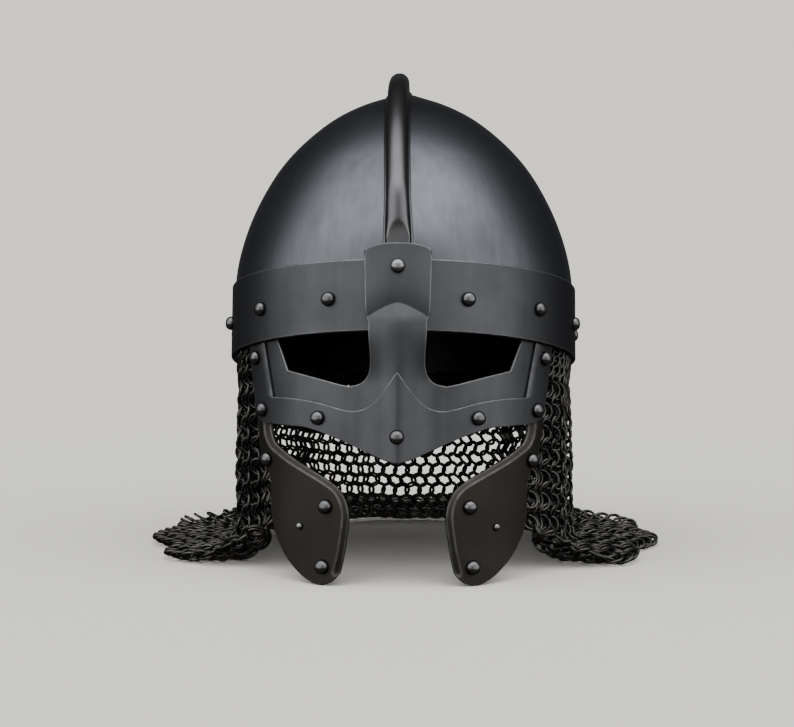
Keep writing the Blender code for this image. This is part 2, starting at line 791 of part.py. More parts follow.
def mail_column(angle, stance):
    """Middle line of the mail at one angle, from inside the rim down and out over the ground."""
    forward = mail_forward(angle)
    half_width = BOWL_HALF_WIDTH - mail_inset(angle)
    half_length = BOWL_HALF_LENGTH - mail_inset(angle)
    top = stance @ ring_point(angle, half_width, half_length, MAIL_LAP)
    rim = stance @ ring_point(angle, half_width, half_length, 0)
    outward = ring_normal(angle, half_width, half_length)
    wave = cos(MAIL_FOLD_COUNT * angle)
    fold_share = MAIL_FOLD_SHARE_BACK + (1 - MAIL_FOLD_SHARE_BACK) * sin(angle) ** 2
    fold = MAIL_FOLD_DEPTH * fold_share * (1 - forward) * wave
    floor = MAIL_THICKNESS / 2 + MAIL_FRONT_RISE * forward
    bend_top = floor + MAIL_BEND_RADIUS
    column = [(top, 0.0), (rim, 0.0)]
    for step in range(1, MAIL_HANG_STEPS + 1):
        share = step / MAIL_HANG_STEPS
        column.append((Vector((rim.x, rim.y, rim.z + (bend_top - rim.z) * share)), fold * share))
    for step in range(1, MAIL_BEND_STEPS + 1):
        turn = pi / 2 * step / MAIL_BEND_STEPS
        out = MAIL_BEND_RADIUS * (1 - cos(turn))
        place = Vector((rim.x, rim.y, bend_top - MAIL_BEND_RADIUS * sin(turn))) + outward * out
        column.append((place, fold))
    used = MAIL_LAP + (rim.z - bend_top) + MAIL_BEND_RADIUS * pi / 2
    spread = max(MAIL_LENGTH - used, MAIL_THICKNESS) * (1 - forward) + MAIL_FRONT_CURL * forward
    foot = column[-1][0]
    for step in range(1, MAIL_SPREAD_STEPS + 1):
        column.append((foot + outward * (spread * step / MAIL_SPREAD_STEPS), fold))
    return column, outward


def make_mail_aventail(material, stance):
    """Closed body of the mail's true outer form, open at the front between its two edges."""
    first = MAIL_FRONT_ANGLE
    sweep = tau - 2 * first
    skins = ([], [])
    for step in range(MAIL_COLUMNS + 1):
        column, outward = mail_column(first + sweep * step / MAIL_COLUMNS, stance)
        spots = [place + outward * fold for place, fold in column]
        for index, spot in enumerate(spots):
            along = spots[min(index + 1, len(spots) - 1)] - spots[max(index - 1, 0)]
            if index >= len(spots) - MAIL_SPREAD_STEPS - 1:
                along = outward
            across = Vector((outward.y, -outward.x, 0))
            normal = across.cross(along).normalized()
            normal = normal if normal.dot(outward) + normal.z > 0 else -normal
            skins[0].append(spot + normal * MAIL_THICKNESS / 2)
            skins[1].append(spot - normal * MAIL_THICKNESS / 2)
    rows = len(skins[0]) // (MAIL_COLUMNS + 1)
    points = skins[0] + skins[1]
    count = len(skins[0])
    faces = []
    for column in range(MAIL_COLUMNS):
        for row in range(rows - 1):
            low = column * rows + row
            high = low + rows
            faces.append((low, low + 1, high + 1, high))
            faces.append((count + low, count + high, count + high + 1, count + low + 1))
        top = column * rows
        hem = top + rows - 1
        faces.append((top, top + rows, count + top + rows, count + top))
        faces.append((hem, count + hem, count + hem + rows, hem + rows))
    for start in (0, MAIL_COLUMNS * rows):
        for row in range(rows - 1):
            low = start + row
            faces.append((low, count + low, count + low + 1, low + 1))
    mail = make_object("mail_aventail", mesh_from("mail_aventail", points, faces), material)
    shade_round(mail, radians(50))
    return mail


def centre_on_ground(frame, mail):
    """Moves the whole so that its box stands centred on the origin."""
    bpy.context.view_layer.update()
    solids = [item for item in bpy.data.objects if item.type == "MESH" and not item.hide_render]
    reach = [(item.matrix_world @ vertex.co).y for item in solids for vertex in item.data.vertices]
    middle = (min(reach) + max(reach)) / 2
    frame.location.y -= middle
    mail.location.y -= middle


def main():
    clear_scene()
    dark_steel = make_material("dark_steel", (0.085, 0.088, 0.095), 0.34, 1.0)
    matt_steel = make_material("matt_steel", (0.060, 0.058, 0.055), 0.50, 1.0)
    bright_steel = make_material("bright_steel", (0.32, 0.32, 0.32), 0.28, 1.0)
    black_mail = make_material("black_mail", (0.025, 0.025, 0.027), 0.42, 1.0)
    frame = bpy.data.objects.new("helmet_stance", None)
    bpy.context.scene.collection.objects.link(frame)
    frame.location.z = stance_height()
    frame.rotation_euler.x = -LEAN_BACK
    stance = Matrix.Translation(frame.location) @ frame.rotation_euler.to_matrix().to_4x4()

    bowl = make_bowl(dark_steel, frame)
    pieces = {
        "bowl": bowl,
        "brow_band": make_brow_band(dark_steel.copy(), frame),
        "comb": make_comb(dark_steel.copy(), frame, bowl),
        "spectacle_plate": make_spectacle_plate(dark_steel.copy(), frame),
        "face_frame": make_face_frame(dark_steel.copy(), frame),
        "cheek_plate_left": make_cheek_plate("cheek_plate_left", 1, matt_steel, frame),
        "cheek_plate_right": make_cheek_plate("cheek_plate_right", -1, matt_steel.copy(), frame),
    }
    plates = {name: {"item": item} for name, item in pieces.items()}
    add_rivets(dark_steel.copy(), bright_steel, frame, plates)
    for plate in plates.values():
        if "holes" in plate:
            drill(plate, frame)
    mail = make_mail_aventail(black_mail, stance)
    centre_on_ground(frame, mail)


main()
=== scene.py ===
"""Looks of a combed spectacle helmet with cheek plates and a mail curtain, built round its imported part.

Metres, +Z up. The wearer looks along -Y, with their left side at +X. The rigid pieces are drawn upright in
the helmet's own frame, with its origin at the middle of the bowl's rim, and stand with one stance matrix.
"""

from math import asin, cos, pi, radians, sin, tau

import bmesh
import bpy
import numpy as np
from mathutils import Matrix, Vector
from mathutils.bvhtree import BVHTree
from mathutils.geometry import delaunay_2d_cdt


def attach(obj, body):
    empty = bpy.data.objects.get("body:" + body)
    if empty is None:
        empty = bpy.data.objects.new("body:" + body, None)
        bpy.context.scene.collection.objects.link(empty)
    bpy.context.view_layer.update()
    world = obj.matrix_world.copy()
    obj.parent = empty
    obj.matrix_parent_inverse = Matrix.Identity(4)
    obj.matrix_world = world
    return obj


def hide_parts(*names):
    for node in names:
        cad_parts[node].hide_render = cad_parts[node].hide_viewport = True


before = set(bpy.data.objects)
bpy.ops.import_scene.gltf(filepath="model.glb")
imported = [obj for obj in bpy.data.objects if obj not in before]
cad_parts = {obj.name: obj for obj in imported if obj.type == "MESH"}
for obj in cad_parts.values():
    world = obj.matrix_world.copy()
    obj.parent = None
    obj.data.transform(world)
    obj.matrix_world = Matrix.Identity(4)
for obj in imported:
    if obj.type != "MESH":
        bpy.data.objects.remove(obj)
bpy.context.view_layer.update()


# Bowl
# One shell raised from a single sheet of steel, blackened and rubbed to a satin finish. The faint upright
# streaks are left by filing and polishing from the rim to the crown. It carries everything else.

BOWL_HALF_WIDTH = 0.1064
BOWL_HALF_LENGTH = 0.1209
BOWL_HEIGHT = 0.1723
BOWL_WALL = 0.0016
FIT_GAP = 0.0003
LEAN_BACK = radians(13)
RIM_CENTRE = Vector((0.0, -0.024895, 0.119865))
STANCE = Matrix.Translation(RIM_CENTRE) @ Matrix.Rotation(-LEAN_BACK, 4, "X")
# Crown profile: height share, width share
CROWN_PROFILE = (
    (0.000, 1.000),
    (0.150, 1.000),
    (0.270, 0.998),
    (0.370, 0.974),
    (0.480, 0.921),
    (0.580, 0.850),
    (0.680, 0.756),
    (0.770, 0.635),
    (0.860, 0.472),
    (0.920, 0.314),
    (0.960, 0.168),
    (0.988, 0.062),
    (1.000, 0.000),
)
BOWL_RIM_MIDDLE = 0.0005
BOWL_RINGS = 96
BOWL_SIDES = 160
BOWL_SHARP_ANGLE = radians(40)
CROWN_CURVE_STEPS = 8
CROWN_SMOOTHING_ROUNDS = 6
SHARP_ANGLE = radians(60)
SAME_SPOT = 1e-7


def ease(low, high, value):
    """0 up to the low value and 1 from the high one on, with a soft change between them."""
    share = min(max((value - low) / (high - low), 0.0), 1.0)
    return share * share * (3 - 2 * share)


def smooth_run(points, steps):
    """Points along a smooth curve through the given ones, with both ends kept."""
    run = [Vector(point) for point in points]
    if len(run) < 3:
        return run
    ends = [2 * run[0] - run[1]] + run + [2 * run[-1] - run[-2]]
    curve = []
    for before, start, end, after in zip(ends, ends[1:], ends[2:], ends[3:]):
        for step in range(steps):
            t = step / steps
            curve.append(
                start * (2 * t**3 - 3 * t**2 + 1)
                + (end - before) / 2 * (t**3 - 2 * t**2 + t)
                + end * (3 * t**2 - 2 * t**3)
                + (after - start) / 2 * (t**3 - t**2)
            )
    return curve + [run[-1]]


def lengths_along(line, weight=1.0):
    """Length of a line up to each of its points."""
    return np.concatenate([[0.0], np.cumsum(np.linalg.norm(np.diff(line, axis=0), axis=1) * weight)])


def even_run(points, count):
    """The same line with its points at equal distances."""
    line = np.array(points, float)
    reach = lengths_along(line)
    at = np.linspace(0.0, reach[-1], count)
    return np.column_stack([np.interp(at, reach, line[:, axis]) for axis in range(line.shape[1])])


def crown_line(inset):
    """Half section of the shell from rim to apex: reach as a share, and height."""
    half = [Vector((width, height)) for height, width in CROWN_PROFILE]
    whole = half + [Vector((-point.x, point.y)) for point in reversed(half[:-1])]
    curve = [(p.x * BOWL_HALF_WIDTH, p.y * BOWL_HEIGHT) for p in smooth_run(whole, CROWN_CURVE_STEPS)]
    line = even_run(curve, 2 * BOWL_RINGS + 1)
    for _ in range(CROWN_SMOOTHING_ROUNDS):
        line[1:-1] = line[1:-1] / 2 + (line[:-2] + line[2:]) / 4
    line = line[: BOWL_RINGS + 1]
    line[-1, 0] = 0.0
    return [(x / BOWL_HALF_WIDTH, z * (BOWL_HEIGHT - inset) / line[-1, 1]) for x, z in line]


def ring_point(angle, half_width, half_length, height):
    """Point on a level ellipse, its angle counted from the front towards +X."""
    return Vector((half_width * sin(angle), -half_length * cos(angle), height))


def ring_normal(angle, half_width, half_length):
    """Direction straight out from a level ellipse."""
    return Vector((sin(angle) / half_width, -cos(angle) / half_length, 0)).normalized()


def put_in_scene(name, data):
    """New object with its mesh or camera, in the scene."""
    piece = bpy.data.objects.new(name, data)
    bpy.context.scene.collection.objects.link(piece)
    return piece


def ring_faces(rings, sides):
    """Four-sided faces between rings of points that lie one after another."""
    faces = []
    for ring in range(rings - 1):
        low = ring * sides
        high = low + sides
        for step in range(sides):
            after = (step + 1) % sides
            faces.append((low + step, low + after, high + after, high + step))
    return faces


def shaded_piece(name, points, faces, wear_and_highlight, material, nodes, sharp=SHARP_ANGLE, stance=STANCE):
    """Makes a visible piece with its edge wear and painted highlight lines stored on its points, and sets it
    in the nodes' place.
    """
    mesh = bpy.data.meshes.new(name)
    mesh.from_pydata([tuple(point) for point in points], [], faces)
    wear_and_highlight_share = mesh.attributes.new("edge_wear_and_highlight", "FLOAT", "POINT")
    wear_and_highlight_share.data.foreach_set("value", np.asarray(wear_and_highlight, dtype=np.float32))
    work = bmesh.new()
    work.from_mesh(mesh)
    bmesh.ops.remove_doubles(work, verts=work.verts, dist=SAME_SPOT)
    bmesh.ops.recalc_face_normals(work, faces=work.faces)
    if work.calc_volume(signed=True) < 0:
        bmesh.ops.reverse_faces(work, faces=work.faces)
    work.to_mesh(mesh)
    work.free()
    mesh.transform(stance)
    mesh.materials.append(material)
    mesh.shade_smooth()
    mesh.set_sharp_from_angle(angle=sharp)
    piece = put_in_scene(name, mesh)
    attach(piece, "root")
    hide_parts(*nodes)
    return piece


def new_group(name, inputs, outputs):
    """Empty shader group with named sockets, and its two ends."""
    group = bpy.data.node_groups.new(name, "ShaderNodeTree")
    for label, kind, value in inputs:
        socket = group.interface.new_socket(name=label, in_out="INPUT", socket_type=kind)
        socket.default_value = value
    for label, kind in outputs:
        group.interface.new_socket(name=label, in_out="OUTPUT", socket_type=kind)
    return group, group.nodes.new("NodeGroupInput"), group.nodes.new("NodeGroupOutput")


def fill(tree, node, values):
    """Sets a node's inputs, or joins them to the outputs that are given instead of values."""
    for label, value in values.items():
        socket = node.inputs[label]
        if isinstance(value, bpy.types.NodeSocket):
            tree.links.new(value, socket)
        else:
            socket.default_value = (*value, 1.0) if socket.type == "RGBA" else value
    return node


def add_node(tree, kind, values=None, **settings):
    """New node with its settings made first and its inputs filled after them."""
    node = tree.nodes.new("ShaderNode" + kind)
    for label, value in settings.items():
        setattr(node, label, value)
    return fill(tree, node, values or {})


def mapped_noise(tree, stretch, scale, detail, rough=0.55):
    """Noise over the upright helmet's coordinates, drawn out along its axes by the stretch."""
    turn = {
        "Vector": add_node(tree, "TexCoord").outputs["Object"],
        "Location": RIM_CENTRE,
        "Rotation": (-LEAN_BACK, 0.0, 0.0),
        "Scale": [1 / factor for factor in stretch],
    }
    upright = add_node(tree, "Mapping", turn, vector_type="TEXTURE").outputs["Vector"]
    grain = {"Vector": upright, "Scale": scale, "Detail": detail, "Roughness": rough}
    return add_node(tree, "TexNoise", grain).outputs["Fac"]


def ranged(tree, value, from_low, from_high, to_low, to_high):
    """Maps a value from one range to another, held inside it."""
    limits = {"From Min": from_low, "From Max": from_high, "To Min": to_low, "To Max": to_high}
    return add_node(tree, "MapRange", {"Value": value, **limits}).outputs["Result"]


def mixed(tree, share, first, second):
    """Blend of two colours by a share. The mix node takes them on its sockets 6 and 7."""
    return add_node(tree, "Mix", {"Factor": share, 6: first, 7: second}, data_type="RGBA").outputs[2]


def computed(tree, operation, first, second):
    """Result of one sum on two values."""
    return add_node(tree, "Math", {0: first, 1: second}, operation=operation).outputs["Value"]


UNSTRETCHED = (1, 1, 1)
PATCH_SCALE = 22
PATCH_RANGE = (0.34, 0.68)
PATCH_SHARE = 0.55
STREAK_STRETCH = (160, 160, 6)
STREAK_RANGE = (0.35, 0.68)
STREAK_SHARE = 0.45
STREAK_HEIGHT = 0.35
SCRATCH_STRETCH = (900, 900, 24)
SCRATCH_RANGE = (0.60, 0.72)
SCRATCH_DEPTH = 0.3
PIT_SCALE = 1400
PIT_HEIGHT = 0.25


def make_satin_group():
    """Rubbed blackening: soft patches, upright polishing streaks and a few fine scratches."""
    group, inlet, outlet = new_group(
        "rubbed_blackening",
        (
            ("Deep Colour", "NodeSocketColor", (0.05, 0.05, 0.055, 1.0)),
            ("Rubbed Colour", "NodeSocketColor", (0.10, 0.10, 0.11, 1.0)),
            ("Smoothest", "NodeSocketFloat", 0.28),
            ("Roughest", "NodeSocketFloat", 0.42),
            ("Streaks", "NodeSocketFloat", 0.5),
        ),
        (("Colour", "NodeSocketColor"), ("Roughness", "NodeSocketFloat"), ("Height", "NodeSocketFloat")),
    )
    patches = mapped_noise(group, UNSTRETCHED, PATCH_SCALE, detail=4)
    streaks = mapped_noise(group, STREAK_STRETCH, 1, detail=5, rough=0.65)
    scratches = mapped_noise(group, SCRATCH_STRETCH, 1, detail=2, rough=0.5)
    pits = mapped_noise(group, UNSTRETCHED, PIT_SCALE, detail=2, rough=0.5)
    patch_share = computed(group, "MULTIPLY", ranged(group, patches, *PATCH_RANGE, 0, 1), PATCH_SHARE)
    streak_share = ranged(group, streaks, *STREAK_RANGE, 0, 1)
    streak_share = computed(group, "MULTIPLY", streak_share, inlet.outputs["Streaks"])
    total = computed(group, "ADD", patch_share, computed(group, "MULTIPLY", streak_share, STREAK_SHARE))
    colour = mixed(group, total, inlet.outputs["Deep Colour"], inlet.outputs["Rubbed Colour"])
    rough = ranged(group, total, 0, 1, inlet.outputs["Roughest"], inlet.outputs["Smoothest"])
    raised = computed(group, "MULTIPLY", streak_share, STREAK_HEIGHT)
    raised = computed(group, "ADD", raised, computed(group, "MULTIPLY", pits, PIT_HEIGHT))
    scratched = computed(group, "MULTIPLY", ranged(group, scratches, *SCRATCH_RANGE, 0, 1), SCRATCH_DEPTH)
    height = computed(group, "SUBTRACT", raised, scratched)
    fill(group, outlet, {"Colour": colour, "Roughness": rough, "Height": height})
    return group


MASK_BREAK_SCALE = 180
MASK_BREAK_RANGE = (0.30, 0.62)
MASK_LEAST = 0.35


def make_wear_and_highlight_group():
    """Bright line where handling has rubbed an edge bare, and painted highlight lines where a piece's mask
    holds them, broken up by noise.
    """
    group, inlet, outlet = new_group(
        "worn_edge_and_highlight",
        (("Edge", "NodeSocketFloat", 0.0), ("Strength", "NodeSocketFloat", 0.7)),
        (("Mask", "NodeSocketFloat"),),
    )
    breaks = mapped_noise(group, UNSTRETCHED, MASK_BREAK_SCALE, detail=3)
    broken = ranged(group, breaks, *MASK_BREAK_RANGE, MASK_LEAST, 1.0)
    mask = computed(group, "MULTIPLY", inlet.outputs["Edge"], broken)
    mask = computed(group, "MULTIPLY", mask, inlet.outputs["Strength"])
    fill(group, outlet, {"Mask": mask})
    return group


satin_group = make_satin_group()
wear_and_highlight_group = make_wear_and_highlight_group()
# Bare steel of worn edges, also used for the painted highlight lines on the comb's foot and the cheeks' bend
BARE_STEEL_AND_HIGHLIGHT = (0.24, 0.24, 0.24)
STEEL_EDGE_TINT = (0.35, 0.35, 0.36)
STEEL_RELIEF = 0.00006


def new_material(name):
    """Material with its node tree and its shader."""
    material = bpy.data.materials.new(name)
    material.use_nodes = True
    return material, material.node_tree, material.node_tree.nodes["Principled BSDF"]


def steel_material(name, deep, rubbed, smoothest, roughest, streaks, wear_and_highlight):
    """Dark steel with rubbed blackening, bright worn edges, and painted highlight lines where the mask holds
    them.
    """
    material, tree, shader = new_material(name)
    finish = {
        "Deep Colour": deep,
        "Rubbed Colour": rubbed,
        "Smoothest": smoothest,
        "Roughest": roughest,
        "Streaks": streaks,
    }
    satin = add_node(tree, "Group", finish, node_tree=satin_group).outputs
    edge = add_node(tree, "Attribute", attribute_name="edge_wear_and_highlight").outputs["Fac"]
    wear_and_highlight_share = add_node(tree, "Group", {"Edge": edge, "Strength": wear_and_highlight}, node_tree=wear_and_highlight_group).outputs["Mask"]
    relief = {"Strength": 1.0, "Distance": STEEL_RELIEF, "Height": satin["Height"]}
    fill(tree, shader, {
        "Metallic": 1.0,
        "Specular Tint": STEEL_EDGE_TINT,
        "Base Color": mixed(tree, wear_and_highlight_share, satin["Colour"], BARE_STEEL_AND_HIGHLIGHT),
        "Roughness": satin["Roughness"],
        "Normal": add_node(tree, "Bump", relief).outputs["Normal"],
    })
    return material


bowl_steel = steel_material(
    "bowl_blackened_steel", deep=(0.084, 0.087, 0.096), rubbed=(0.134, 0.138, 0.151),
    smoothest=0.27, roughest=0.38, streaks=0.8, wear_and_highlight=0.4,
)


def make_bowl():
    """Outer skin from the apex down, the rim, and the inner skin up again: share, height and inset."""
    rows = [(share, height, 0.0) for share, height in crown_line(0.0)[::-1]]
    rows += [(1.0, 0.0, BOWL_RIM_MIDDLE), (1.0, 0.0, BOWL_WALL)]
    rows += [(share, height, BOWL_WALL) for share, height in crown_line(BOWL_WALL)[1:]]
    points = []
    for share, height, inset in rows:
        half_width = (BOWL_HALF_WIDTH - inset) * share
        half_length = (BOWL_HALF_LENGTH - inset) * share
        for step in range(BOWL_SIDES):
            points.append(ring_point(tau * step / BOWL_SIDES, half_width, half_length, height))
    return shaded_piece(
        "bowl_shell", points, ring_faces(len(rows), BOWL_SIDES), [0.0] * len(points), bowl_steel,
        ["bowl"], BOWL_SHARP_ANGLE,
    )


bowl_shell = make_bowl()


# Brow band
# A flat strip of the same steel bent to a ring and riveted round the bowl's lower edge, level with its rim.
# Its two edges are filed round, and handling has worn them bright.

BAND_INNER_OFFSET = FIT_GAP
BAND_THICKNESS = 0.0015
BAND_OUTER_OFFSET = BAND_INNER_OFFSET + BAND_THICKNESS
BAND_HEIGHT = 0.0440
BAND_FRONT_DIP = 0.0020
BAND_EDGE_ROUND = 0.00045
BAND_EDGE_SOFT_SHARE = 0.3
BAND_WORN_WIDTH = 0.0005
BAND_LEVELS = (0.2, 0.4, 0.6, 0.8)
BAND_SIDES = 220

plate_steel = steel_material(
    "plate_blackened_steel", deep=(0.056, 0.057, 0.060), rubbed=(0.090, 0.092, 0.096),
    smoothest=0.34, roughest=0.46, streaks=0.35, wear_and_highlight=0.70,
)


def make_brow_band():
    """Section swept round the bowl. Its rows hold offset, share of the height, lift and wear."""
    edge = BAND_EDGE_ROUND
    outer = BAND_OUTER_OFFSET
    soft = edge * BAND_EDGE_SOFT_SHARE
    section = (
        (BAND_INNER_OFFSET, 0.0, 0.0, 0.4),
        (outer - edge, 0.0, 0.0, 0.8),
        (outer - soft, 0.0, soft, 1.0),
        (outer, 0.0, edge, 1.0),
        (outer, 0.0, edge + BAND_WORN_WIDTH, 0.0),
        *[(outer, share, 0.0, 0.0) for share in BAND_LEVELS],
        (outer, 1.0, -edge - BAND_WORN_WIDTH, 0.0),
        (outer, 1.0, -edge, 1.0),
        (outer - soft, 1.0, -soft, 1.0),
        (outer - edge, 1.0, 0.0, 0.8),
        (BAND_INNER_OFFSET, 1.0, 0.0, 0.4),
    )
    points = []
    wear_and_highlight = []
    faces = []
    for step in range(BAND_SIDES):
        angle = tau * step / BAND_SIDES
        top = BAND_HEIGHT - BAND_FRONT_DIP * max(cos(angle), 0.0) ** 2
        for offset, share, lift, wear_and_highlight_share in section:
            points.append(
                ring_point(angle, BOWL_HALF_WIDTH + offset, BOWL_HALF_LENGTH + offset, top * share + lift)
            )
            wear_and_highlight.append(wear_and_highlight_share)
    count = len(section)
    for step in range(BAND_SIDES):
        here = count * step
        there = count * ((step + 1) % BAND_SIDES)
        for low in range(count):
            high = (low + 1) % count
            faces.append((here + low, there + low, there + high, here + high))
    shaded_piece("brow_ring", points, faces, wear_and_highlight, plate_steel, ["brow_band"])


make_brow_band()


# Comb
# A strip folded to a hollow ridge with a round crest, laid over the middle of the bowl from the tab to the
# back of the band. Its low flanges close on the bowl, and the front foot is filed flat to a small triangle.
# Bright bare-steel lines are painted along the triangle's edges as painted highlights.

COMB_HALF_WIDTH = 0.0062
COMB_FOOT_HALF_WIDTH = 0.0072
COMB_HEIGHT = 0.0130
COMB_SWAY = 0.0035
COMB_FOOT_HEIGHT = 0.0042
COMB_RUN_OUT = 0.0340
COMB_WALL = 0.0012
COMB_FLANGE = 0.0017
COMB_CREST_ROUND = 0.95
COMB_CREST_HEIGHT_SHARE = 0.8
COMB_CLOSE_UP_TO_WALLS = 4
COMB_FACET_LENGTH = 0.0125
COMB_FACET_FOOT = 0.0014
COMB_FACET_FROM_WALLS = 2
# Painted highlight lines along the edges of the foot's facet: strength and width
COMB_FACET_HIGHLIGHT = 0.9
COMB_FACET_HIGHLIGHT_WIDTH = 0.0006
COMB_STATIONS = 260
COMB_CREST_STEPS = 24
TAB_HEIGHT = 0.0510
# Flange and root of the comb: share of the flange's width, share of the wall
COMB_ROOT = ((1.00, 0.00), (1.00, 0.45), (0.85, 0.75), (0.50, 0.95), (0.22, 1.25), (0.05, 1.80))

comb_steel = steel_material(
    "comb_blackened_steel", deep=(0.095, 0.094, 0.096), rubbed=(0.150, 0.149, 0.152),
    smoothest=0.24, roughest=0.34, streaks=0.3, wear_and_highlight=0.5,
)


def comb_section(half_width, height):
    """Closed outline over the ridge from flange to flange, with a soft root at each wall."""
    crest = min(COMB_CREST_ROUND * half_width, COMB_CREST_HEIGHT_SHARE * height)
    side = [(half_width + COMB_FLANGE * out, COMB_WALL * up) for out, up in COMB_ROOT]
    arc = []
    for step in range(COMB_CREST_STEPS + 1):
        angle = pi * step / COMB_CREST_STEPS
        arc.append((half_width * cos(angle), height - crest + crest * sin(angle)))
    return side + arc + [(-x, rise) for x, rise in reversed(side)]


def crown_share(half, height):
    """Share of the bowl's reach at a height."""
    line = np.array(half)
    return float(np.interp(height, line[:, 1], line[:, 0])) / BOWL_HALF_LENGTH


def make_comb():
    """Ridge along the bowl's middle line, with its flanges on the bowl and its front foot cut to a slope."""
    upright = STANCE.inverted()
    tree = BVHTree.FromPolygons(
        [upright @ vertex.co for vertex in bowl_shell.data.vertices],
        [tuple(face.vertices) for face in bowl_shell.data.polygons],
    )
    half = [(share * BOWL_HALF_LENGTH, height) for share, height in crown_line(0.0)]
    front = [(-reach, height) for reach, height in half if height > TAB_HEIGHT + FIT_GAP]
    back = [(reach, height) for reach, height in reversed(half[:-1]) if height > BAND_HEIGHT + FIT_GAP]
    first = (-BOWL_HALF_LENGTH * crown_share(half, TAB_HEIGHT + FIT_GAP), TAB_HEIGHT + FIT_GAP)
    last = (BOWL_HALF_LENGTH * crown_share(half, BAND_HEIGHT + FIT_GAP), BAND_HEIGHT + FIT_GAP)
    path = [Vector((0, y, z)) for y, z in even_run([first] + front + back + [last], COMB_STATIONS)]
    pitch = (path[1] - path[0]).length
    points = []
    wear_and_highlight = []
    for index, place in enumerate(path):
        before = path[max(index - 1, 0)]
        after = path[min(index + 1, len(path) - 1)]
        outward = Vector((1, 0, 0)).cross((after - before).normalized()).normalized()
        outward = outward if outward.dot(place) > 0 else -outward
        from_front = index * pitch
        from_foot = min(from_front, (len(path) - 1) * pitch - from_front)
        share = ease(0.0, COMB_RUN_OUT, from_foot)
        height = COMB_FOOT_HEIGHT + (COMB_HEIGHT - COMB_FOOT_HEIGHT) * share
        half_width = COMB_FOOT_HALF_WIDTH + (COMB_HALF_WIDTH - COMB_FOOT_HALF_WIDTH) * share
        facet = COMB_FACET_FOOT + (height - COMB_FACET_FOOT) * from_front / COMB_FACET_LENGTH
        for x, rise in comb_section(half_width, height):
            across = x - COMB_SWAY * sin(pi * index / (len(path) - 1))
            start = place + outward * COMB_HEIGHT + Vector((across, 0, 0))
            hit = tree.ray_cast(start, -outward)[0]
            drop = (start - hit).length - COMB_HEIGHT if hit else 0.0
            held = 1.0 - ease(COMB_WALL, COMB_CLOSE_UP_TO_WALLS * COMB_WALL, rise)
            lift = facet if rise > max(facet, COMB_FACET_FROM_WALLS * COMB_WALL) else rise
            points.append(place + Vector((across, 0, 0)) + outward * (lift + FIT_GAP - drop * held))
            # Painted highlight: bright line where the crest meets the filed facet
            wear_and_highlight_share = COMB_FACET_HIGHLIGHT * max(0.0, 1.0 - abs(rise - facet) / COMB_FACET_HIGHLIGHT_WIDTH)
            wear_and_highlight.append(wear_and_highlight_share if from_front < COMB_FACET_LENGTH else 0.0)
    count = len(points) // len(path)
    faces = ring_faces(len(path), count)
    faces.append(tuple(range(count)))
    faces.append(tuple(range(len(points) - count, len(points))))
    shaded_piece("comb_ridge", points, faces, wear_and_highlight, comb_steel, ["comb"])


make_comb()


# Spectacle plate
# One sheet cut out with two eye openings: a tab over the brow band, a nasal bent out over the nose, two
# under-eye bars and two legs that run up inside the rim. Filed edges, rubbed bright.

FACE_HALF_WIDTH = 0.0920
FACE_FRAME_DEPTH = 0.0775
EYE_DEPTH = 0.0312
TAB_HALF_WIDTH = 0.0186
LEG_LAP = 0.0280
LEG_INNER_TOP = 0.805
NOSE_RISE = 0.0075
NOSE_HALF_WIDTH = 0.0210
NOSE_VALLEY_HEIGHT = 0.0160
NOSE_VALLEY_ARCH = 0.0098
NOSE_VALLEY_CURVE = 1.4
NOSE_VALLEY_LINES = (-0.0016, -0.0006, 0.0, 0.0006, 0.0016)
NOSE_SLOPE = 0.27
NOSE_BRIDGE = 0.0009
NOSE_BLEND = 0.0007
TAB_PUFF = 0.0015
TAB_PUFF_RISE = 0.0130
TAB_PUFF_END = 0.0500
TAB_FOOT_HEIGHT = -0.0120
NOSE_LIFT_WIDTH = 0.0155
CHIN_TUCK_WIDTH = 0.0040
CHIN_TUCK_LENGTH = 0.0115
CHIN_TUCK_LIMIT = 1.1
CHEEK_DEPTH = 0.1450
PLATE_THICKNESS = 0.0016
PLATE_OUTER_OFFSET = -BOWL_WALL - FIT_GAP
PLATE_EDGE_ROUND = 0.00045
PLATE_WORN_FROM = 0.0002
PLATE_WORN_TO = 0.0008
PLATE_EDGE_RINGS = (0.00006, 0.00018, 0.00045, 0.00090, 0.00150)
PLATE_MESH_PITCH = 0.0016
PLATE_SHARP_ANGLE = radians(62)
FOLD_OVER_SHARE = 0.96
OUTLINE_CURVE_STEPS = 6
CREASE_STEPS = 40
SAME_PLACE = 1e-5
ON_MIDDLE_LINE = 1e-6
# Tab above the rim: share of the tab's half width, share of its height
TAB_TOP = ((0.00, 1.000), (0.41, 0.996), (0.81, 0.961), (1.00, 0.918))
TAB_SIDE = ((1.00, 0.918), (0.96, 0.459), (0.93, 0.145))
TAB_STEP = ((0.93, 0.145), (0.865, 0.100), (0.86, 0.010))
# Below the rim: share of the face's half width, share of the eye's depth
EYE_INNER = ((0.174, 0.00), (0.167, 0.46), (0.170, 0.66))
EYE_CORNER = ((0.170, 0.66), (0.187, 0.81), (0.234, 0.95), (0.308, 1.00))
EYE_LOWER = ((0.308, 1.00), (0.396, 0.93), (0.587, 0.74), (0.712, 0.61))
EYE_OUTER = ((0.712, 0.61), (0.785, 0.00))
# Share of the face's half width, share of the face frame's depth
LEG_OUTER = ((0.983, 0.000), (0.946, 0.297), (0.924, 0.430))
PLATE_LOWER = (
    (0.924, 0.430),
    (0.832, 0.452),
    (0.804, 0.540),
    (0.696, 0.605),
    (0.511, 0.680),
    (0.392, 0.729),
    (0.196, 0.839),
    (0.000, 0.930),
)


def chin_tuck(z):
    """Share of the inward tuck towards the chin, 0 at the rim."""
    return min(max(-z / CHEEK_DEPTH, 0.0), CHIN_TUCK_LIMIT)


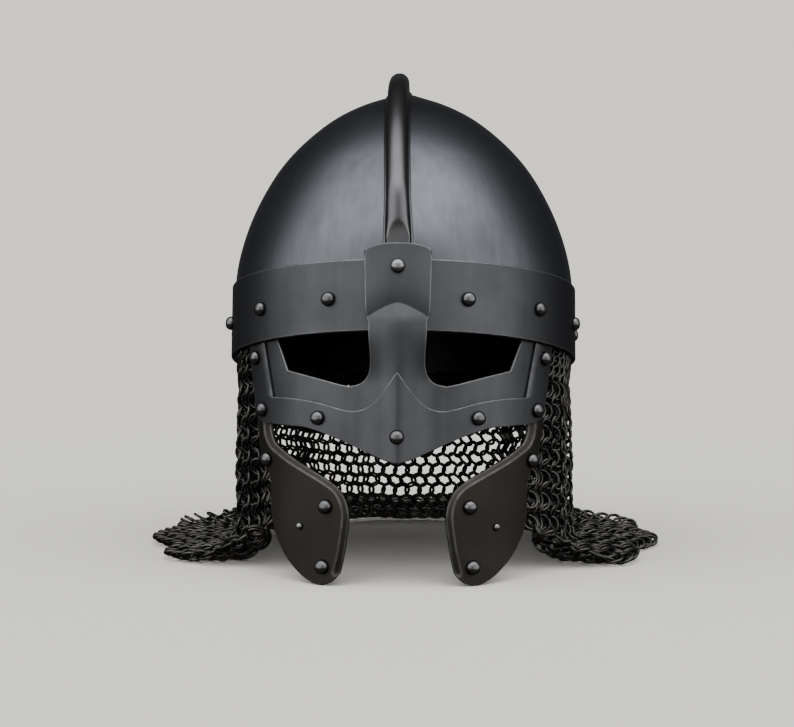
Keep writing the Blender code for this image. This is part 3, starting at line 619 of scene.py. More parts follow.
def soft_lesser(first, second, blend):
    """The lesser of two values, with a round change from one to the other."""
    near = max(blend - abs(first - second), 0.0) / blend
    return min(first, second) - near * near * blend / 4


def nose_valley(x):
    """Height of the arched crease between the tab and the nasal."""
    return NOSE_VALLEY_HEIGHT - NOSE_VALLEY_ARCH * (abs(x) / TAB_HALF_WIDTH) ** NOSE_VALLEY_CURVE


def nose_form(x, z):
    """How far the plates stand out over the band and, from an arched valley down, over the nose."""
    over_band = BAND_OUTER_OFFSET + FIT_GAP + PLATE_THICKNESS - PLATE_OUTER_OFFSET
    below_rim = 1 - ease(TAB_FOOT_HEIGHT, -FIT_GAP, z)
    beside_nose = ease(NOSE_LIFT_WIDTH, NOSE_HALF_WIDTH, abs(x)) * below_rim
    lift = over_band * ease(-EYE_DEPTH, -FIT_GAP, z) * (1 - beside_nose)
    above_valley = z - nose_valley(x)
    ridge = NOSE_RISE + NOSE_BRIDGE * ease(-EYE_DEPTH, 0.0, z) - lift
    full = ridge * (1 - ease(0.0, NOSE_HALF_WIDTH, abs(x)))
    bulge = soft_lesser(max(-NOSE_SLOPE * above_valley, 0.0), full, NOSE_BLEND)
    rise = min(max(above_valley / TAB_PUFF_RISE, 0.0), 1.0)
    puff = TAB_PUFF * (1 - (1 - rise) ** 2) * (1 - ease(TAB_PUFF_RISE, TAB_PUFF_END, above_valley))
    return max(bulge, 0.0) + (lift + puff if abs(x) < TAB_HALF_WIDTH + FIT_GAP else 0.0)


def face_place(x, z, offset):
    """Point and outward direction on the face surface, seen from the front at x and height z."""
    half_width = BOWL_HALF_WIDTH + offset - CHIN_TUCK_WIDTH * chin_tuck(z)
    half_length = BOWL_HALF_LENGTH + offset - CHIN_TUCK_LENGTH * chin_tuck(z)
    angle = asin(max(min(x / half_width, 1.0), -1.0))
    outward = ring_normal(angle, half_width, half_length)
    return ring_point(angle, half_width, half_length, z) + outward * nose_form(x, z), outward


def in_sizes(table, width, depth):
    """A table of shares as places across and below the rim."""
    return [(side * width, -down * depth) for side, down in table]


def join_runs(*runs):
    """One outline from runs that meet at corners."""
    outline = []
    for run in runs:
        for point in smooth_run(run, OUTLINE_CURVE_STEPS):
            if not outline or (point - outline[-1]).length > SAME_PLACE:
                outline.append(point)
    return outline


def both_sides(half):
    """Full outline from its +X half."""
    off_middle = [point for point in reversed(half) if abs(point[0]) > ON_MIDDLE_LINE]
    return half + [Vector((-point[0], point[1])) for point in off_middle]


def distances(spots, line, closed):
    """Shortest distance from each spot to a line of points."""
    starts = np.array([tuple(point) for point in line])
    ends = np.roll(starts, -1, axis=0)
    if not closed:
        starts, ends = starts[:-1], ends[:-1]
    along = ends - starts
    gap = spots[:, None, :] - starts[None, :, :]
    share = np.clip((gap * along).sum(2) / np.maximum((along * along).sum(1), 1e-12), 0.0, 1.0)
    return np.linalg.norm(gap - share[:, :, None] * along, axis=2).min(1)


def kept_runs(line, kept):
    """Splits a line of points where some of them are left out."""
    runs = [[]]
    for point, keep in zip(line, kept):
        if keep:
            runs[-1].append(tuple(point))
        elif runs[-1]:
            runs.append([])
    return [run for run in runs if len(run) > 1]


def inner_line(outline, inset):
    """Runs of points that lie inside an outline at one distance, broken where they would fold over."""
    line = np.array([tuple(point) for point in outline])
    along = np.roll(line, -1, axis=0) - np.roll(line, 1, axis=0)
    along /= np.linalg.norm(along, axis=1, keepdims=True)
    after = np.roll(line, -1, axis=0)
    turn = 1 if (line[:, 0] * after[:, 1] - after[:, 0] * line[:, 1]).sum() > 0 else -1
    moved = line + turn * inset * np.stack([-along[:, 1], along[:, 0]], axis=1)
    clear = distances(moved, outline, True) > FOLD_OVER_SHARE * inset
    return kept_runs([*moved, moved[0]], [*clear, clear[0]])


def mesh_sheet(outline, creases):
    """Flat mesh inside an outline, with edges along lines close inside it and along each crease."""
    points = [tuple(point) for point in outline]
    edges = [(index, (index + 1) % len(points)) for index in range(len(points))]
    border = list(range(len(points)))
    for run in [run for inset in PLATE_EDGE_RINGS for run in inner_line(outline, inset)] + creases:
        edges += [(len(points) + index, len(points) + index + 1) for index in range(len(run) - 1)]
        points += run
    line = np.array(points[:len(outline)])
    low, high = line.min(0), line.max(0)
    across, up = (np.arange(low[axis], high[axis], PLATE_MESH_PITCH) for axis in (0, 1))
    grid = np.stack(np.meshgrid(across, up), axis=-1).reshape(-1, 2)
    grid = grid[distances(grid, outline, True) > max(PLATE_EDGE_RINGS) + PLATE_MESH_PITCH / 3]
    spots = [Vector(point) for point in points] + [Vector(point) for point in grid]
    flat, _, faces, _, _, _ = delaunay_2d_cdt(spots, edges, [border], 1, SAME_SPOT)
    used = sorted({index for face in faces for index in face})
    place = {index: order for order, index in enumerate(used)}
    tops = [tuple(place[index] for index in face) for face in faces]
    flat = np.array([tuple(flat[index]) for index in used])
    sides = [side for top in tops for side in zip(top, top[1:] + top[:1])]
    known = set(sides)
    rims = [side for side in sides if (side[1], side[0]) not in known]
    return flat, tops, rims


def lay_plate(name, outline, offset, thickness, material, nodes, creases, extra=None, painted_highlight_line=None):
    """Sheet with a flat outline, meshed finely, laid on the face surface with its front edge filed round."""
    flat, tops, rims = mesh_sheet(outline, creases)
    fronts = []
    backs = []
    wear_and_highlight = []
    for (x, z), distance in zip(flat, distances(flat, outline, True)):
        place, outward = face_place(x, z, offset)
        share = max(1 - distance / PLATE_EDGE_ROUND, 0.0)
        rounding = PLATE_EDGE_ROUND * (1 - (1 - share * share) ** 0.5)
        lift = extra(x, z) if extra else 0.0
        fronts.append(place + outward * (lift - rounding))
        backs.append(place + outward * (lift - thickness))
        wear_and_highlight.append(1 - ease(PLATE_WORN_FROM, PLATE_WORN_TO, distance))
    # Some plates add a painted highlight line to the edge-wear mask
    if painted_highlight_line:
        wear_and_highlight = [max(edge, line) for edge, line in zip(wear_and_highlight, painted_highlight_line(flat))]
    count = len(flat)
    wear_and_highlight += [0.0] * count
    faces = list(tops)
    faces += [tuple(count + index for index in reversed(top)) for top in tops]
    faces += [(start, end, count + end, count + start) for start, end in rims]
    shaded_piece(name, fronts + backs, faces, wear_and_highlight, material, nodes, PLATE_SHARP_ANGLE)


def valley_lines():
    """Lines along the arched valley over the nose and close on either side of it."""
    across = np.linspace(-TAB_HALF_WIDTH, TAB_HALF_WIDTH, CREASE_STEPS + 1)
    return [[(x, nose_valley(x) + aside) for x in across] for aside in NOSE_VALLEY_LINES]


def make_spectacle_plate():
    tab_runs = (TAB_TOP, TAB_SIDE, TAB_STEP)
    eye_runs = (EYE_INNER, EYE_CORNER, EYE_LOWER, EYE_OUTER)
    tab = [[(side * TAB_HALF_WIDTH, up * TAB_HEIGHT) for side, up in run] for run in tab_runs]
    eye = [in_sizes(run, FACE_HALF_WIDTH, EYE_DEPTH) for run in eye_runs]
    leg_outer = in_sizes(LEG_OUTER, FACE_HALF_WIDTH, FACE_FRAME_DEPTH)
    leg_top = [(LEG_INNER_TOP * FACE_HALF_WIDTH, LEG_LAP), (leg_outer[0][0], LEG_LAP)]
    lower = in_sizes(PLATE_LOWER, FACE_HALF_WIDTH, FACE_FRAME_DEPTH)
    outline = both_sides(join_runs(*tab, *eye, leg_top, leg_outer, lower))
    lay_plate(
        "spectacle_sheet", outline, PLATE_OUTER_OFFSET, PLATE_THICKNESS, plate_steel,
        ["spectacle_plate"], valley_lines(),
    )


make_spectacle_plate()


# Face frame
# A second strip riveted over the first, from the rim down beside the eyes and under the nose to a point,
# with a low keel hammered down its middle.

FACE_FRAME_THICKNESS = 0.0015
FRAME_OUTER_OFFSET = PLATE_OUTER_OFFSET + FIT_GAP + FACE_FRAME_THICKNESS
KEEL_RISE = 0.0012
KEEL_HALF_WIDTH = 0.0100
KEEL_CLEAR_OF_TOP = 0.0010
# Share of the face's half width, share of the face frame's depth
FRAME_INNER_LEG = ((0.884, 0.000), (0.818, 0.436))
FRAME_UPPER = (
    (0.818, 0.436),
    (0.674, 0.465),
    (0.511, 0.512),
    (0.364, 0.570),
    (0.280, 0.590),
    (0.203, 0.572),
    (0.130, 0.517),
    (0.065, 0.426),
    (0.000, 0.317),
)
FRAME_LOWER = (
    (0.000, 1.000),
    (0.082, 0.964),
    (0.196, 0.899),
    (0.392, 0.787),
    (0.576, 0.700),
    (0.696, 0.672),
    (0.848, 0.632),
    (0.911, 0.601),
)
FRAME_OUTER_LEG = ((0.911, 0.601), (0.939, 0.516), (0.965, 0.297), (0.997, 0.000))


def keel(x, z):
    """Lift of the low crease down the frame's middle."""
    return KEEL_RISE * max(1 - abs(x) / KEEL_HALF_WIDTH, 0.0)


def make_face_frame():
    inner_leg = in_sizes(FRAME_INNER_LEG, FACE_HALF_WIDTH, FACE_FRAME_DEPTH)
    outer_leg = in_sizes(FRAME_OUTER_LEG, FACE_HALF_WIDTH, FACE_FRAME_DEPTH)
    inner_leg[0] = (inner_leg[0][0], -FIT_GAP)
    outer_leg[-1] = (outer_leg[-1][0], -FIT_GAP)
    lower = in_sizes(FRAME_LOWER, FACE_HALF_WIDTH, FACE_FRAME_DEPTH)
    upper = in_sizes(FRAME_UPPER, FACE_HALF_WIDTH, FACE_FRAME_DEPTH)
    outline = both_sides(join_runs(lower, outer_leg, inner_leg, upper))
    top, bottom = upper[-1][1] - KEEL_CLEAR_OF_TOP, lower[0][1] + PLATE_EDGE_ROUND
    keel_line = [(0.0, bottom + (top - bottom) * step / CREASE_STEPS) for step in range(CREASE_STEPS + 1)]
    lay_plate(
        "face_frame_strip", outline, FRAME_OUTER_OFFSET, FACE_FRAME_THICKNESS, plate_steel,
        ["face_frame"], [keel_line], keel,
    )


make_face_frame()


# Cheek plates
# Two curved plates that hang below the face frame, left with a duller, warmer blackening. Their front edge
# is turned inwards over its whole length, and a bright bare-steel line is painted along the bend as a
# painted highlight.

CHEEK_HALF_SPAN = 0.0865
CHEEK_THICKNESS = 0.0016
CHEEK_TURN_WIDTH = 0.0030
CHEEK_TURN_DEPTH = 0.0022
CHEEK_BEND_HALF_WIDTH = 0.0005
# Strength of the painted highlight line along the bend
CHEEK_BEND_HIGHLIGHT = 1.4
CHEEK_BEND_LINES = (-0.0008, -0.0004, 0.0, 0.0004, 0.0008)
CHEEK_TOE_POINTS = 2
# Share of the cheeks' half span, share of the cheek's depth
CHEEK_OUTER = (
    (1.000, 0.254),
    (0.988, 0.315),
    (0.973, 0.399),
    (0.952, 0.469),
    (0.908, 0.525),
    (0.880, 0.575),
    (0.877, 0.669),
    (0.864, 0.741),
    (0.822, 0.817),
    (0.754, 0.890),
    (0.659, 0.955),
    (0.569, 0.991),
    (0.509, 1.000),
)
CHEEK_FRONT = (
    (0.509, 1.000),
    (0.439, 0.986),
    (0.393, 0.952),
    (0.361, 0.869),
    (0.335, 0.759),
    (0.335, 0.714),
    (0.358, 0.662),
    (0.407, 0.617),
    (0.492, 0.578),
    (0.601, 0.537),
    (0.727, 0.488),
    (0.821, 0.443),
    (0.875, 0.407),
    (0.902, 0.345),
    (0.890, 0.254),
)

cheek_steel = steel_material(
    "cheek_dull_steel", deep=(0.030, 0.027, 0.023), rubbed=(0.046, 0.042, 0.036),
    smoothest=0.42, roughest=0.52, streaks=0.2, wear_and_highlight=0.40,
)


def make_cheek_plate(name, side, node):
    """One cheek plate, turned inwards along its front from the bend line on."""
    outer = in_sizes(CHEEK_OUTER, CHEEK_HALF_SPAN, CHEEK_DEPTH)
    front = in_sizes(CHEEK_FRONT, CHEEK_HALF_SPAN, CHEEK_DEPTH)
    outline = [Vector((side * point[0], point[1])) for point in join_runs(outer, front)]
    front_line = [Vector((side * point[0], point[1])) for point in join_runs(front[CHEEK_TOE_POINTS:])]

    bend_lines = []
    for aside in CHEEK_BEND_LINES:
        inset = CHEEK_TURN_WIDTH + aside
        for run in inner_line(outline, inset):
            beside_front = distances(np.array(run), front_line, False) < inset + SAME_PLACE
            bend_lines += kept_runs(run, beside_front)

    def turned(x, z):
        distance = distances(np.array([(x, z)]), front_line, False)[0]
        return -CHEEK_TURN_DEPTH * max(1 - distance / CHEEK_TURN_WIDTH, 0.0)

    # Painted highlight: a bright bare-steel line along the bend, added to the edge mask
    def painted_bend_highlight(flat):
        away = np.abs(distances(flat, front_line, False) - CHEEK_TURN_WIDTH)
        return np.clip(CHEEK_BEND_HIGHLIGHT - away / CHEEK_BEND_HALF_WIDTH, 0.0, 1.0)

    lay_plate(
        name, outline, PLATE_OUTER_OFFSET, CHEEK_THICKNESS, cheek_steel, [node],
        bend_lines, turned, painted_bend_highlight,
    )


make_cheek_plate("cheek_sheet_left", 1, "cheek_plate_left")
make_cheek_plate("cheek_sheet_right", -1, "cheek_plate_right")


# Rivets
# Round-headed rivets, cold set from outside and peened flat within. Each head is a little different. The
# tab's rivet and the small ones on the cheeks are rubbed brighter than the rest.

RIVET_HEAD_RADIUS = 0.0042
RIVET_HEAD_HEIGHT = 0.0040
RIVET_TAIL_RADIUS = 0.0028
RIVET_TAIL_HEIGHT = 0.0010
RIVET_TAIL_TAPER = 0.9
RIVET_SHANK_SHARE = 0.55
RIVET_SQUASH = (-0.05, 0.03)
RIVET_LEAN = 0.05
SMALL_RIVET_SCALE = 0.5
RIVET_SIDES = 28
RIVET_SEED = 7
FACET_SAG = 0.00026
NOSE_SEAT_SAG = 0.0007
# Head from its edge to its top: share of the radius, share of the height
RIVET_HEAD_PROFILE = (
    (1.00, 0.00),
    (1.02, 0.12),
    (1.00, 0.30),
    (0.93, 0.52),
    (0.80, 0.72),
    (0.62, 0.87),
    (0.40, 0.96),
    (0.18, 0.995),
    (0.00, 1.00),
)
BAND_RIVET_ANGLES = (22, 50, 78, 99, 130, 161)
BAND_RIVET_HEIGHT = 0.0195
LEG_RIVET_ANGLE = 50
TAB_RIVET_HEIGHT = 0.0371
# Name, share of the half width or span, share of the depth
FRAME_RIVETS = (("leg", 0.938, 0.112), ("corner", 0.885, 0.521), ("under_eye", 0.505, 0.630))
NOSE_RIVET_DEPTH = 0.0621
CHEEK_RIVETS = (("ear", 0.905, 0.483), ("front", 0.483, 0.690), ("toe", 0.503, 0.928))
CHEEK_SMALL_RIVET = (0.661, 0.764)

rivet_steel = steel_material(
    "rivet_dark_steel", deep=(0.100, 0.100, 0.102), rubbed=(0.160, 0.160, 0.163),
    smoothest=0.20, roughest=0.30, streaks=0.1, wear_and_highlight=0.3,
)
bright_rivet_steel = steel_material(
    "rivet_rubbed_steel", deep=(0.17, 0.17, 0.17), rubbed=(0.34, 0.34, 0.34),
    smoothest=0.22, roughest=0.32, streaks=0.1, wear_and_highlight=0.3,
)
hammer = np.random.default_rng(RIVET_SEED)


def make_rivet(node, place, outward, grip, material, scale=1.0):
    """One rivet on its seat, with its head a little out of true."""
    head = RIVET_HEAD_RADIUS * scale
    rise = RIVET_HEAD_HEIGHT * scale
    squash = 1 + hammer.uniform(*RIVET_SQUASH)
    lean = hammer.uniform(-RIVET_LEAN, RIVET_LEAN, 2)
    seat = -grip - FIT_GAP
    tail = seat - RIVET_TAIL_HEIGHT * scale
    shank_radius = RIVET_TAIL_RADIUS * RIVET_SHANK_SHARE * scale
    rings = []
    for radius, height in RIVET_HEAD_PROFILE[::-1]:
        rings.append((head * radius, FIT_GAP + rise * height * squash, 1.0))
    rings += [(shank_radius, FIT_GAP, 0.0), (shank_radius, seat, 0.0), (RIVET_TAIL_RADIUS * scale, seat, 0.0)]
    rings += [(RIVET_TAIL_RADIUS * RIVET_TAIL_TAPER * scale, tail, 0.0), (0.0, tail, 0.0)]
    points = []
    for radius, height, on_head in rings:
        tip = on_head * max(height - FIT_GAP, 0.0)
        for step in range(RIVET_SIDES):
            angle = tau * step / RIVET_SIDES
            x = radius * cos(angle) + lean[0] * tip
            y = radius * sin(angle) + lean[1] * tip
            points.append(Vector((x, y, height)))
    seat_place = Matrix.Translation(place) @ outward.to_track_quat("Z", "Y").to_matrix().to_4x4()
    shaded_piece(
        node + "_head", points, ring_faces(len(rings), RIVET_SIDES), [0.0] * len(points), material,
        [node], stance=STANCE @ seat_place,
    )


def set_rivets():
    """All rivets, left side first, then the two on the middle line."""
    half_width = BOWL_HALF_WIDTH + BAND_OUTER_OFFSET
    half_length = BOWL_HALF_LENGTH + BAND_OUTER_OFFSET
    bowl_grip = BAND_THICKNESS + FIT_GAP + BOWL_WALL + FACET_SAG
    leg_grip = bowl_grip + FIT_GAP + PLATE_THICKNESS
    frame_grip = FACE_FRAME_THICKNESS + FIT_GAP + PLATE_THICKNESS
    for side, hand in ((1, "left"), (-1, "right")):
        span = side * CHEEK_HALF_SPAN
        for number, degrees in enumerate(BAND_RIVET_ANGLES, 1):
            angle = side * radians(degrees)
            place = ring_point(angle, half_width, half_length, BAND_RIVET_HEIGHT)
            outward = ring_normal(angle, half_width, half_length)
            grip = leg_grip if degrees == LEG_RIVET_ANGLE else bowl_grip
            make_rivet(f"band_rivet_{hand}_{number}", place, outward, grip, rivet_steel)
        for label, across, down in FRAME_RIVETS:
            x = side * across * FACE_HALF_WIDTH
            place, outward = face_place(x, -down * FACE_FRAME_DEPTH, FRAME_OUTER_OFFSET)
            make_rivet(f"frame_rivet_{hand}_{label}", place, outward, frame_grip, rivet_steel)
        for label, across, down in CHEEK_RIVETS:
            place, outward = face_place(across * span, -down * CHEEK_DEPTH, PLATE_OUTER_OFFSET)
            name = f"cheek_rivet_{hand}_{label}"
            make_rivet(name, place, outward, CHEEK_THICKNESS, rivet_steel)
        across, down = CHEEK_SMALL_RIVET
        place, outward = face_place(across * span, -down * CHEEK_DEPTH, PLATE_OUTER_OFFSET)
        make_rivet(
            f"cheek_rivet_{hand}_small", place, outward, CHEEK_THICKNESS, bright_rivet_steel,
            SMALL_RIVET_SCALE,
        )
    place, outward = face_place(0, TAB_RIVET_HEIGHT, PLATE_OUTER_OFFSET)
    make_rivet("tab_rivet", place, outward, leg_grip, bright_rivet_steel)
    place, outward = face_place(0, -NOSE_RIVET_DEPTH, FRAME_OUTER_OFFSET)
    place += outward * keel(0, 0)
    nose_grip = frame_grip + keel(0, 0) + NOSE_SEAT_SAG
    make_rivet("nose_rivet", place, outward, nose_grip, rivet_steel)


set_rivets()


# Mail curtain
# Blackened iron rings, each linked through four others, hung inside the rim from beside the face guard round
# the back. The curtain falls in upright folds, turns on the surface and spreads outwards over it.

MAIL_THICKNESS = 0.0032
MAIL_LENGTH = 0.1720
MAIL_LAP = 0.0060
MAIL_FRONT_ANGLE = radians(49)
MAIL_SIDE_ANGLE = radians(68)
MAIL_LEG_MARGIN = radians(2.5)
MAIL_LEG_EASE = radians(10)
MAIL_LEG_CLEARANCE = 0.0009
MAIL_FRONT_RISE = 0.0200
MAIL_FRONT_CURL = 0.0040
MAIL_BEND_RADIUS = 0.0100
MAIL_FOLD_DEPTH = 0.0050
MAIL_FOLD_COUNT = 15
MAIL_FOLD_SHARE_BACK = 0.20
MAIL_FOLD_INWARD = 0.5
MAIL_FOLD_FULL_SHARE = 0.6
MAIL_HANG_STEPS = 24
MAIL_BEND_STEPS = 8
MAIL_SAMPLES = 720
MAIL_SAMPLE_POINT = 20
MAIL_RING_INSET = 0.0014
MAIL_FLOOR = 0.0038
MAIL_COLUMN_PITCH = 0.0084
MAIL_SIDE_CROWDING = 0.30
RING_RADIUS = 0.0054
WIRE_RADIUS = 0.00102
RING_STEPS = 14
WIRE_SIDES = 6
RING_TILT_SIDE = radians(6)
RING_TILT_BACK = radians(33)
RING_LEAN_SIDE = radians(28)
RING_TURN_BACK = radians(14)
RING_PLACE_SPREAD = 0.00018
RING_ANGLE_SPREAD = radians(3)
ROW_PITCH = 0.0069
ROW_PITCH_SPREAD = 0.0056
COLUMN_PITCH_HUNG = 0.0090
COLUMN_PITCH_SPREAD = 0.0120
FIRST_ROW_SHARE = 0.5
LAST_ROW_SHARE = 0.4
SLOPE_REACH = 0.003
GATHERED_ROWS = 5
GATHERED_SHARE = 0.4
# Ripples that run round the curtain: depth, number of waves, start of the first
MAIL_RIPPLES = ((0.0008, 7, 1.3), (0.0006, 23, 0.0))
# Parts of the curtain by their share of the way round
MAIL_PARTS = (
    ("mail_rings_left", 0.0, 0.33),
    ("mail_rings_back", 0.33, 0.67),
    ("mail_rings_right", 0.67, 1.01),
)
MAIL_SEED = 20
MAIL_EDGE_TINT = (0.4, 0.4, 0.4)
RING_DARK = (0.043, 0.041, 0.038)
RING_PALE = (0.095, 0.092, 0.086)
MAIL_GRIME = (0.045, 0.041, 0.038)
MAIL_GRIME_SCALE = 420
MAIL_GRIME_RANGE = (0.35, 0.65)
MAIL_GRIME_SHARE = 0.5
MAIL_ROUGHNESS = (0.30, 0.46)
MAIL_DENT_SCALE = 2600
MAIL_RELIEF = 0.00005


def mail_forward(angle):
    """1 at the mail's front edges, 0 from the temples round the back."""
    return 1 - ease(MAIL_FRONT_ANGLE, MAIL_SIDE_ANGLE, min(angle, tau - angle))


def mail_inset(angle):
    """Depth of the curtain's middle behind the bowl's outside, deeper beside the face guard's legs."""
    leg_edge = LEG_OUTER[0][0] * FACE_HALF_WIDTH / (BOWL_HALF_WIDTH + PLATE_OUTER_OFFSET)
    leg_angle = asin(min(leg_edge, 1.0)) + MAIL_LEG_MARGIN
    beside_leg = 1 - ease(leg_angle, leg_angle + MAIL_LEG_EASE, min(angle, tau - angle))
    behind_leg = PLATE_THICKNESS + RIVET_TAIL_HEIGHT + MAIL_LEG_CLEARANCE
    return BOWL_WALL + FIT_GAP + MAIL_THICKNESS / 2 + MAIL_RING_INSET + behind_leg * beside_leg


def mail_path(share):
    """Middle line of the curtain at a share of the way round, from inside the rim to its hem."""
    angle = MAIL_FRONT_ANGLE + (tau - 2 * MAIL_FRONT_ANGLE) * share
    forward = mail_forward(angle)
    half_width = BOWL_HALF_WIDTH - mail_inset(angle)
    half_length = BOWL_HALF_LENGTH - mail_inset(angle)
    top = STANCE @ ring_point(angle, half_width, half_length, MAIL_LAP)
    rim = STANCE @ ring_point(angle, half_width, half_length, 0)
    outward = ring_normal(angle, half_width, half_length)
    depth = MAIL_FOLD_DEPTH * (MAIL_FOLD_SHARE_BACK + (1 - MAIL_FOLD_SHARE_BACK) * sin(angle) ** 2)
    fold = depth * (1 - forward) * (cos(MAIL_FOLD_COUNT * angle) - MAIL_FOLD_INWARD)
    fold += sum(depth * sin(waves * angle + start) for depth, waves, start in MAIL_RIPPLES)
    floor = MAIL_FLOOR + MAIL_FRONT_RISE * forward
    bend_top = floor + MAIL_BEND_RADIUS
    line = [top, rim]
    for step in range(1, MAIL_HANG_STEPS + 1):
        part = step / MAIL_HANG_STEPS
        level = rim.z + (bend_top - rim.z) * part
        line.append(Vector((rim.x, rim.y, level)) + outward * (fold * ease(0.0, MAIL_FOLD_FULL_SHARE, part)))
    for step in range(1, MAIL_BEND_STEPS + 1):
        turn = pi / 2 * step / MAIL_BEND_STEPS
        out = MAIL_BEND_RADIUS * (1 - cos(turn)) + fold
        line.append(Vector((rim.x, rim.y, bend_top - MAIL_BEND_RADIUS * sin(turn))) + outward * out)
    used = MAIL_LAP + (rim.z - bend_top) + MAIL_BEND_RADIUS * pi / 2
    spread = max(MAIL_LENGTH - used, MAIL_THICKNESS) * (1 - forward) + MAIL_FRONT_CURL * forward
    line.append(line[-1] + outward * spread)
    points = np.array([tuple(point) for point in line])
    return points, lengths_along(points)


def on_path(path, length):
    """Point at a length down one of the curtain's lines."""
    points, reach = path
    return np.array([np.interp(length, reach, points[:, axis]) for axis in range(3)])


def side_crowding(share):
    """1 where the curtain hangs at the helmet's sides, 0 at its back."""
    return np.sin(MAIL_FRONT_ANGLE + (tau - 2 * MAIL_FRONT_ANGLE) * share) ** 4


def column_shares():
    """Shares of the way round that set the columns at even distances along the folds, closer at the sides."""
    shares = np.linspace(0.0, 1.0, MAIL_SAMPLES + 1)
    low = np.array([mail_path(share)[0][MAIL_SAMPLE_POINT] for share in shares])
    crowding = 1 + MAIL_SIDE_CROWDING * side_crowding((shares[1:] + shares[:-1]) / 2)
    reach = lengths_along(low, crowding)
    steps = 2 * round(reach[-1] / MAIL_COLUMN_PITCH)
    return np.interp(np.linspace(0.0, reach[-1], steps + 1), reach, shares)


def ring_places():
    """Centre and axes of every ring, row by row down each column, with odd rows set half a step aside."""
    shares = column_shares()
    steps = len(shares) - 1
    paths = [mail_path(share) for share in shares]
    rings = []
    for half_step in range(1, steps):
        left, path, right = paths[half_step - 1], paths[half_step], paths[half_step + 1]
        length = RING_RADIUS * FIRST_ROW_SHARE
        row = 0
        while length < path[1][-1] - RING_RADIUS * LAST_ROW_SHARE:
            pitch = np.linalg.norm(on_path(right, length) - on_path(left, length))
            share = ease(COLUMN_PITCH_HUNG, COLUMN_PITCH_SPREAD, pitch)
            if row % 2 == half_step % 2:
                centre = on_path(path, length)
                down = on_path(path, length + SLOPE_REACH) - on_path(path, length - SLOPE_REACH)
                across = on_path(right, length) - on_path(left, length)
                rings.append((centre, down, across, row % 2, shares[half_step]))
            gathered = GATHERED_SHARE if row < GATHERED_ROWS else 1.0
            length += gathered * (ROW_PITCH + (ROW_PITCH_SPREAD - ROW_PITCH) * share)
            row += 1
    return rings


def unit(vectors):
    """The same directions, each with a length of 1."""
    return vectors / np.linalg.norm(vectors, axis=1, keepdims=True)


def ring_mesh(rings, seed):
    """All rings of one part of the curtain as one mesh of bent wire."""
    chance = np.random.default_rng(seed)
    count = len(rings)
    centre = np.array([ring[0] for ring in rings]) + chance.normal(0, RING_PLACE_SPREAD, (count, 3))
    centre[:, 2] = np.maximum(centre[:, 2], MAIL_FLOOR)
    down = unit(np.array([ring[1] for ring in rings]))
    across = unit(np.array([ring[2] for ring in rings]))
    outward = unit(np.cross(down, across))
    across = unit(np.cross(outward, down))
    odd = np.array([ring[3] for ring in rings])
    crowd = side_crowding(np.array([ring[4] for ring in rings]))
    turned = np.where(odd, 1, -1)
    tilt = turned * (RING_TILT_BACK + (RING_TILT_SIDE - RING_TILT_BACK) * crowd)
    tilt += chance.normal(0, RING_ANGLE_SPREAD, count)
    yaw = turned * RING_LEAN_SIDE * crowd + RING_TURN_BACK * (1 - crowd)
    yaw += chance.normal(0, RING_ANGLE_SPREAD, count)
    first = across * np.cos(yaw)[:, None] + outward * np.sin(yaw)[:, None]
    second = unit(down * np.cos(tilt)[:, None] + outward * np.sin(tilt)[:, None])
    second = unit(second - first * (first * second).sum(1)[:, None])
    third = np.cross(first, second)
    round_angle = np.arange(RING_STEPS) * tau / RING_STEPS
    wire_angle = np.arange(WIRE_SIDES) * tau / WIRE_SIDES
    spoke = (
        first[:, None, :] * np.cos(round_angle)[None, :, None]
        + second[:, None, :] * np.sin(round_angle)[None, :, None]
    )
    radius = RING_RADIUS + WIRE_RADIUS * np.cos(wire_angle)
    points = (
        centre[:, None, None, :]
        + spoke[:, :, None, :] * radius[None, None, :, None]
        + third[:, None, None, :] * (WIRE_RADIUS * np.sin(wire_angle))[None, None, :, None]
    ).reshape(-1, 3)
    step, side = np.meshgrid(np.arange(RING_STEPS), np.arange(WIRE_SIDES), indexing="ij")
    next_step = (step + 1) % RING_STEPS
    next_side = (side + 1) % WIRE_SIDES
    one = np.stack(
        [step * WIRE_SIDES + side, next_step * WIRE_SIDES + side,
         next_step * WIRE_SIDES + next_side, step * WIRE_SIDES + next_side], axis=-1
    ).reshape(-1, 4)
    faces = (one[None, :, :] + (np.arange(count) * RING_STEPS * WIRE_SIDES)[:, None, None]).reshape(-1, 4)
    tone = np.repeat(chance.random(count), RING_STEPS * WIRE_SIDES)
    return points, faces, tone


def mail_material():
    """Blackened wire, each ring with its own shade, dulled here and there by grime."""
    material, tree, shader = new_material("blackened_mail")
    tone = add_node(tree, "Attribute", attribute_name="ring_tone").outputs["Fac"]
    grime = mapped_noise(tree, UNSTRETCHED, MAIL_GRIME_SCALE, detail=3)
    grime = ranged(tree, grime, *MAIL_GRIME_RANGE, 0, 1)
    grimed = computed(tree, "MULTIPLY", grime, MAIL_GRIME_SHARE)
    dents = mapped_noise(tree, UNSTRETCHED, MAIL_DENT_SCALE, detail=2)
    relief = {"Distance": MAIL_RELIEF, "Height": dents}
    fill(tree, shader, {
        "Metallic": 1.0,
        "Specular Tint": MAIL_EDGE_TINT,
        "Base Color": mixed(tree, grimed, mixed(tree, tone, RING_DARK, RING_PALE), MAIL_GRIME),
        "Roughness": ranged(tree, grime, 0, 1, *MAIL_ROUGHNESS),
        "Normal": add_node(tree, "Bump", relief).outputs["Normal"],
    })
    return material


black_mail = mail_material()


